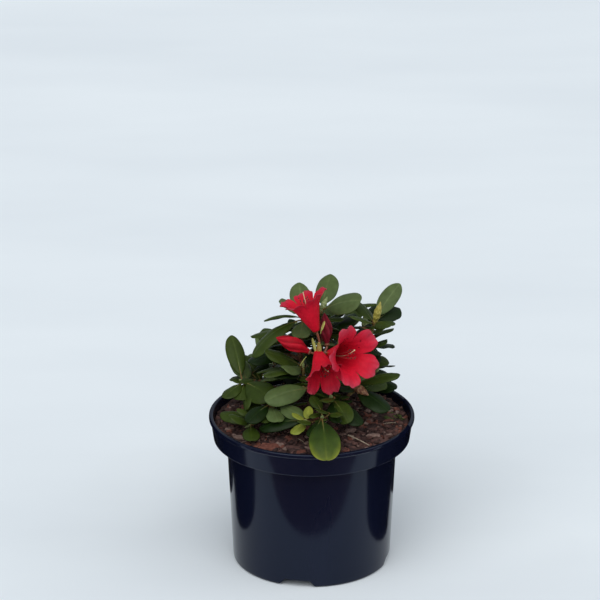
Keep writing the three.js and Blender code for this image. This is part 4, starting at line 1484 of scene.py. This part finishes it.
def potMaterial():
    made, tree, shader = newMaterial("black moulded plastic")
    # long upright streaks of a slightly paler, bluer tone, with the gloss varying along them
    haze = addNoise(tree, 26.0, 3.0, (1.0, 1.0, 0.25))
    share = addRange(tree, haze, 0.0, 1.0, 0.4, 0.75)
    colour = mixColours(tree, share, potFinish["base"], potFinish["bluerStreak"])
    tree.links.new(colour, shader.inputs["Base Color"])
    tree.links.new(addRange(tree, haze, *potFinish["roughness"]), shader.inputs["Roughness"])
    skin = addNoise(tree, potFinish["grain"], 2.0)
    addBump(tree, shader, skin, potFinish["bump"], 0.15)
    shader.inputs["Specular IOR Level"].default_value = potFinish["shine"]
    shader.inputs["Specular Tint"].default_value = (*potFinish["shineTint"], 1.0)
    return made


def makeCutter(name, points, faces):
    mesh = bpy.data.meshes.new(name)
    mesh.from_pydata([tuple(p * millimetre) for p in points], [], [tuple(f) for f in faces])
    turnFacesOutward(mesh)
    return addObject(name, mesh)


def prismFaces(count):
    sides = [(i, (i + 1) % count, count + (i + 1) % count, count + i) for i in range(count)]
    return [tuple(range(count))[::-1], tuple(range(count, 2 * count))] + sides


def prism(outline, low, high, turn):
    # an outline across X and Z, pushed from low to high along Y, then turned about Z
    ends = [np.array([(x, y, z) for x, z in outline]) for y in (low, high)]
    c, s = math.cos(turn), math.sin(turn)
    points = np.concatenate(ends) @ np.array([[c, s, 0], [-s, c, 0], [0, 0, 1]])
    return points, prismFaces(len(outline))


def makePot():
    corners = potProfile()
    profile = roundCorners([corner for corner, _ in corners], [radius for _, radius in corners])
    heap = Heap()
    heap.add(*turnedShape(profile, pot["facets"]))
    piece = makePiece("nurseryPot", heap, [potMaterial()], ["pot"])
    cutters = []
    for i in range(footNotch["count"]):
        f = footNotch
        outline = [(-f["foot"] / 2, -1), (f["foot"] / 2, -1)]
        for turn in np.linspace(0, 90, 5):  # the notch's upper corners are rounded
            c, s = math.cos(math.radians(turn)), math.sin(math.radians(turn))
            outline.append((f["top"] / 2 - 1.2 + 1.6 * c, f["rise"] - 1.2 + 1.2 * s))
        outline += [(-x, z) for x, z in outline[:1:-1]]
        turn = math.radians(f["first"] + 360 / f["count"] * i)
        cutters.append(makeCutter(f"notch{i}", *prism(outline, -pot["lipRadius"], -f["inner"], turn)))
    for i in range(drainHole["count"]):
        turn = 2 * math.pi * i / drainHole["count"]
        sides = drainHole["sides"]
        angle = np.arange(sides) * 2 * math.pi / sides
        ring = np.stack([np.cos(angle), np.sin(angle)], -1) * drainHole["radius"]
        ring += np.array([math.cos(turn), math.sin(turn)]) * drainHole["ring"]
        points = np.concatenate([np.column_stack([ring, np.full(sides, z)]) for z in (2.0, 12.0)])
        cutters.append(makeCutter(f"drill{i}", points, prismFaces(sides)))
    for cutter in cutters:
        cut = piece.modifiers.new(cutter.name, "BOOLEAN")
        cut.operation = "DIFFERENCE"
        cut.solver = "EXACT"
        cut.object = cutter
    cutMesh = bpy.data.meshes.new_from_object(piece.evaluated_get(bpy.context.evaluated_depsgraph_get()))
    piece.modifiers.clear()
    piece.data = cutMesh
    cutMesh.set_sharp_from_angle(angle=math.radians(35))
    for cutter in cutters:
        bpy.data.objects.remove(cutter)
    print("pot cut:", len(cutMesh.polygons), "faces")


# The compost: a lumpy bed, with bark chips, crumbs, fibres and a dry needle on it
soilBuild = {
    "rings": 84,
    "sectors": 260,
    "lumps": ((11.0, 1.3), (4.2, 0.9), (1.8, 0.35)),  # how wide and how high
    "sunk": 0.7,  # how far the lumps lie under the plain bed
    "chips": 2300,
    "chipReach": 88.0,
    "longestChip": 12.0,
    "thickestChip": 2.6,
    "upTo": {"dark": 0.42, "brown": 0.76, "red": 0.9},  # the tones' shares, and the rest is pale
    "shortChip": 5,  # a chip shorter than this may lie steeper
    "shortTilt": 32,
    "longTilt": 14,
    "fibres": 70,
    "fibreReach": 80.0,
    "mossPlace": (76.0, 4.0),
    "mossReach": 10.0,
    "mossShare": 0.6,
    "seed": 2203,
}
soilTones = {
    "bed": {
        "scale": 240.0, "roughness": (0.8, 0.98), "bump": 0.9,
        "stops": [(0.3, (0.013, 0.006, 0.006)), (0.5, (0.038, 0.017, 0.015)), (0.72, (0.080, 0.04, 0.036))],
    },
    "dark": {
        "scale": 300.0, "roughness": (0.7, 0.95), "bump": 0.8,
        "stops": [(0.3, (0.015, 0.007, 0.007)), (0.55, (0.035, 0.016, 0.014)), (0.8, (0.074, 0.038, 0.034))],
    },
    "brown": {
        "scale": 300.0, "roughness": (0.7, 0.95), "bump": 0.8,
        "stops": [(0.3, (0.034, 0.015, 0.013)), (0.55, (0.083, 0.038, 0.032)), (0.8, (0.148, 0.082, 0.068))],
    },
    "red": {
        "scale": 300.0, "roughness": (0.7, 0.95), "bump": 0.8,
        "stops": [(0.3, (0.06, 0.018, 0.012)), (0.55, (0.15, 0.05, 0.034)), (0.8, (0.24, 0.115, 0.08))],
    },
    "pale": {
        "scale": 300.0, "roughness": (0.75, 0.95), "bump": 0.8,
        "stops": [(0.3, (0.10, 0.055, 0.045)), (0.55, (0.19, 0.125, 0.105)), (0.8, (0.30, 0.22, 0.19))],
    },
    "moss": {
        "scale": 500.0, "roughness": (0.85, 1.0), "bump": 0.8,
        "stops": [(0.3, (0.02, 0.03, 0.006)), (0.55, (0.05, 0.068, 0.014)), (0.8, (0.1, 0.12, 0.03))],
    },
    "straw": {
        "scale": 300.0, "roughness": (0.6, 0.8), "bump": 0.4,
        "stops": [(0.3, (0.20, 0.15, 0.11)), (0.55, (0.33, 0.27, 0.20)), (0.8, (0.45, 0.38, 0.30))],
    },
}
# the larger chips that lie where they show: place, length, width, thickness, heading and tone
namedChips = [
    ((-39, -65), 24, 14, 3.4, 12, "red"),
    ((-50, -60), 12, 8, 2.6, 70, "red"),
    ((-75, -25), 13, 7, 2.6, 30, "pale"),
    ((-66, -43), 14, 7, 2.8, -30, "pale"),
    ((-60, -55), 10, 7, 2.4, 20, "pale"),
    ((35, -34), 13, 9, 3.0, 40, "pale"),
    ((28, -42), 9, 6, 2.4, -20, "pale"),
    ((67, -52), 15, 9, 3.0, 25, "brown"),
    ((56, -42), 14, 9, 3.0, 0, "pale"),
    ((48, -58), 12, 8, 2.6, -35, "brown"),
    ((56, -16), 11, 5, 2.4, 5, "red"),
    ((-20, -68), 16, 9, 3.0, -25, "brown"),
    ((-10, -76), 11, 7, 2.6, 15, "red"),
    ((-4, -30), 13, 7, 2.8, 5, "red"),
    ((2, -44), 10, 7, 2.4, 60, "brown"),
    ((-28, -48), 13, 8, 3.0, 30, "dark"),
    ((76, -30), 13, 8, 2.8, 70, "brown"),
    ((70, -8), 12, 8, 2.6, 20, "red"),
]
# the dry needle's one end, its bend and its other end
dryNeedle = [(33.0, -47.0, 141.8), (42.0, -56.5, 142.2), (52.0, -67.5, 140.6)]


def soilHeight(radius):
    shoulder = soil["edge"] + soil["shoulderRise"] * (soil["middle"] - soil["edge"])
    levels = [soil["middle"], soil["middle"], shoulder, soil["edge"]]
    return np.interp(radius, [0, soil["flat"], soil["shoulder"], soil["wall"]], levels)


def soilLump(x, y):
    rise = sum(high * noise.noise(Vector((x / wide, y / wide, wide))) for wide, high in soilBuild["lumps"])
    return rise - soilBuild["sunk"]


def makeSoilBed():
    rings, sectors = soilBuild["rings"], soilBuild["sectors"]
    radius = np.linspace(0, 1, rings)[1:] * (soil["wall"] - 0.1)
    turns = np.arange(sectors) * 2 * math.pi / sectors
    x, y = radius[:, None] * np.cos(turns), radius[:, None] * np.sin(turns)
    z = np.repeat(soilHeight(radius)[:, None], sectors, 1)
    z = z + np.array([[soilLump(a, b) for a, b in zip(rowX, rowY)] for rowX, rowY in zip(x, y)])
    ledge = pot["height"] - pot["collarDepth"]
    shelf = pot["channelRise"] + pot["wall"] + clearance
    below = [
        (pot["collarFoot"] - pot["wall"] - 0.9, ledge + pot["wall"] + clearance),
        (pot["bodyTop"] - pot["wall"] - clearance, ledge - 2 + clearance),
        (pot["bodyFoot"] - pot["wall"] - clearance, shelf),
        (pot["channelInner"] + 2.7, shelf),
        (pot["channelInner"] + 0.7, soil["floor"]),
    ]
    rows = [np.stack([x, y, z], -1)]
    for r, low in below:
        rows.append(np.stack([r * np.cos(turns), r * np.sin(turns), np.full(sectors, low)], -1)[None])
    grid = np.concatenate(rows)
    middle = [(0, 0, soil["middle"] + soilLump(0, 0)), (0, 0, soil["floor"])]
    heap = Heap()
    heap.add(np.concatenate([grid.reshape(-1, 3), middle]), closedRings(len(grid), sectors))
    makePiece("compostBed", heap, [earthMaterial("compost", soilTones["bed"])], ["soil"])


def addChip(heap, place, size, heading, tilt, look, draw, sides=7):
    # a broken slab: four jittered rings round a flat lump, closed at both ends
    length, width, thick = size
    turns = np.arange(sides) * 2 * math.pi / sides
    corners = np.array([draw(0.74, 1.08) for _ in range(sides)])
    levels = ((-0.5, 0.72), (-0.22, 1.0), (0.2, 0.97), (0.5, 0.74))
    rings = []
    for level, share in levels:
        jitter = np.array([draw(-0.09, 0.09) for _ in range(sides)])
        bumps = np.array([draw(-0.14, 0.14) for _ in range(sides)])
        r = corners * share + jitter
        x, y = np.cos(turns) * r * length / 2, np.sin(turns) * r * width / 2
        rings.append(np.stack([x, y, (level + bumps) * thick], -1))
    points = np.concatenate([*rings, [(0, 0, -0.5 * thick), (0, 0, 0.55 * thick)]])
    lean, roll = (math.radians(a) for a in tilt)
    h = math.radians(heading)
    turnX = np.array([[1, 0, 0], [0, math.cos(roll), -math.sin(roll)], [0, math.sin(roll), math.cos(roll)]])
    turnY = np.array([[math.cos(lean), 0, math.sin(lean)], [0, 1, 0], [-math.sin(lean), 0, math.cos(lean)]])
    turnZ = np.array([[math.cos(h), -math.sin(h), 0], [math.sin(h), math.cos(h), 0], [0, 0, 1]])
    points = points @ (turnZ @ turnY @ turnX).T + np.array(place)
    heap.add(points, closedRings(len(levels), sides), look)


def makeSoilTop():
    heap = Heap()
    draw = seeded(soilBuild["seed"])
    tones = list(soilTones)
    mossX, mossY = soilBuild["mossPlace"]
    for _ in range(soilBuild["chips"]):
        radius = soilBuild["chipReach"] * math.sqrt(draw(0, 1))
        turn = draw(0, 2 * math.pi)
        x, y = radius * math.cos(turn), radius * math.sin(turn)
        if math.hypot(x - trunk["foot"][0], y - trunk["foot"][1]) < trunk["flareRadius"] + 1:
            continue
        length = min(soilBuild["longestChip"], 1.6 + 2.0 * math.exp(draw(-1.0, 1.6)))
        length = min(length, 2 * (soil["wall"] - 0.5 - radius) + 3)
        width = length * draw(0.4, 0.85)
        thick = min(soilBuild["thickestChip"], length * draw(0.2, 0.45))
        pick = draw(0, 1)
        tone = next((name for name, upTo in soilBuild["upTo"].items() if pick < upTo), "pale")
        nearMoss = math.hypot(x - mossX, y - mossY) < soilBuild["mossReach"]
        if nearMoss and draw(0, 1) < soilBuild["mossShare"]:
            tone = "moss"
        steep = soilBuild["shortTilt"] if length < soilBuild["shortChip"] else soilBuild["longTilt"]
        tilt = (draw(-steep, steep), draw(-steep, steep))
        z = float(soilHeight(radius)) + soilLump(x, y) + thick * draw(0.05, 0.5)
        addChip(heap, (x, y, z), (length, width, thick), draw(0, 360), tilt, tones.index(tone), draw)
    for (x, y), length, width, thick, heading, tone in namedChips:
        z = float(soilHeight(math.hypot(x, y))) + soilLump(x, y) + thick * 0.45
        tilt = (draw(-7, 7), draw(-7, 7))
        addChip(heap, (x, y, z), (length, width, thick), heading, tilt, tones.index(tone), draw, 13)
    for _ in range(soilBuild["fibres"]):
        radius = soilBuild["fibreReach"] * math.sqrt(draw(0, 1))
        turn, heading, length = draw(0, 2 * math.pi), draw(0, 360), draw(5, 15)
        middle = np.array([radius * math.cos(turn), radius * math.sin(turn), float(soilHeight(radius)) + 1.4])
        way, side, _ = directions(heading, draw(-4, 4))
        path = bezier(middle - way * length / 2, middle + side * draw(-3, 3), middle + way * length / 2, 9)
        tone = "brown" if draw(0, 1) < 0.75 else "straw"
        heap.add(*tube(path, np.linspace(0.34, 0.2, 9), 6), look=tones.index(tone))
    needle = bezier(*np.array(dryNeedle), 14)
    heap.add(*tube(needle, np.linspace(0.75, 0.35, 14), 8), look=tones.index("straw"))
    materials = [earthMaterial("chip " + tone, soilTones[tone]) for tone in tones]
    makePiece("barkChips", heap, materials, sharpAngle=38)


# The floor that the pot stands on
floorLook = {"size": 14.0, "colour": (0.84, 0.90, 0.945), "faint": (0.78, 0.84, 0.89), "roughness": 0.7}

# Dark cards stand round the pot: a long one in front, a rolled one on either side and two rolled ones behind.
# They cast no shadow and show in the gloss alone, as the darker bands of the pot's wall.
rollColour = (0.004, 0.004, 0.006)
cardHeight = 0.16
darkCards = {
    "frontCard": {"line": [(-0.7, -0.159), (0.7, -0.159)], "colour": (0.52, 0.34, 0.32)},
    "leftRoll": {"centre": (-0.204, 0.012), "radii": (0.074, 0.104), "colour": rollColour},
    "rightRoll": {"centre": (0.183, 0.008), "radii": (0.074, 0.104), "colour": rollColour},
    "leftBackRoll": {"centre": (-0.150, 0.175), "radii": (0.066, 0.070), "colour": rollColour},
    "rightBackRoll": {"centre": (0.150, 0.175), "radii": (0.066, 0.070), "colour": rollColour},
}
rollSides = 48


def makeFloor():
    mesh = bpy.data.meshes.new("paleFloor")
    half = floorLook["size"] / 2
    corners = [(-half, -half, 0), (half, -half, 0), (half, half, 0), (-half, half, 0)]
    mesh.from_pydata(corners, [], [(0, 1, 2, 3)])
    made, tree, shader = newMaterial("pale floor")
    cloud = addNoise(tree, 3.0, 3.0, (0.5, 1.4, 1.0))
    share = addRange(tree, cloud, 0.0, 1.0)
    colour = mixColours(tree, share, floorLook["colour"], floorLook["faint"])
    tree.links.new(colour, shader.inputs["Base Color"])
    shader.inputs["Roughness"].default_value = floorLook["roughness"]
    mesh.materials.append(made)
    addObject("paleFloor", mesh)


def makeDarkCard(name, card):
    if "line" in card:
        lines = [card["line"]] * 2
    else:
        turns = [2 * math.pi * i / rollSides for i in range(rollSides + 1)]
        x, y = card["centre"]
        lines = [[(x + r * math.cos(a), y + r * math.sin(a)) for a in turns] for r in card["radii"]]
    foot = [(x, y, 0.001) for x, y in lines[0]]
    top = [(x, y, cardHeight) for x, y in lines[1]]
    n = len(foot)
    mesh = bpy.data.meshes.new(name)
    mesh.from_pydata(foot + top, [], [(i, i + 1, n + i + 1, n + i) for i in range(n - 1)])
    made, _, shader = newMaterial(name)
    shader.inputs["Base Color"].default_value = (*card["colour"], 1.0)
    shader.inputs["Roughness"].default_value = 0.9
    mesh.materials.append(made)
    sheet = addObject(name, mesh)
    sheet.visible_camera = False
    sheet.visible_diffuse = False
    sheet.visible_shadow = False


addCamera()
addLights()
makeFloor()
for cardName, card in darkCards.items():
    makeDarkCard(cardName, card)
print("stage set")
growLimbs()
leaves = growLeaves()
smallLeaves, sideShoots = growSideShoots()
print("grown:", len(leaves), "leaves and", len(smallLeaves), "small ones on", len(sideShoots), "side shoots")
makePot()
makeSoilBed()
makeSoilTop()
makeWood()
makeTwigs(sideShoots)
makeLeaves(leaves + smallLeaves)
makeBuds()
makePetals()
makeTrussParts()
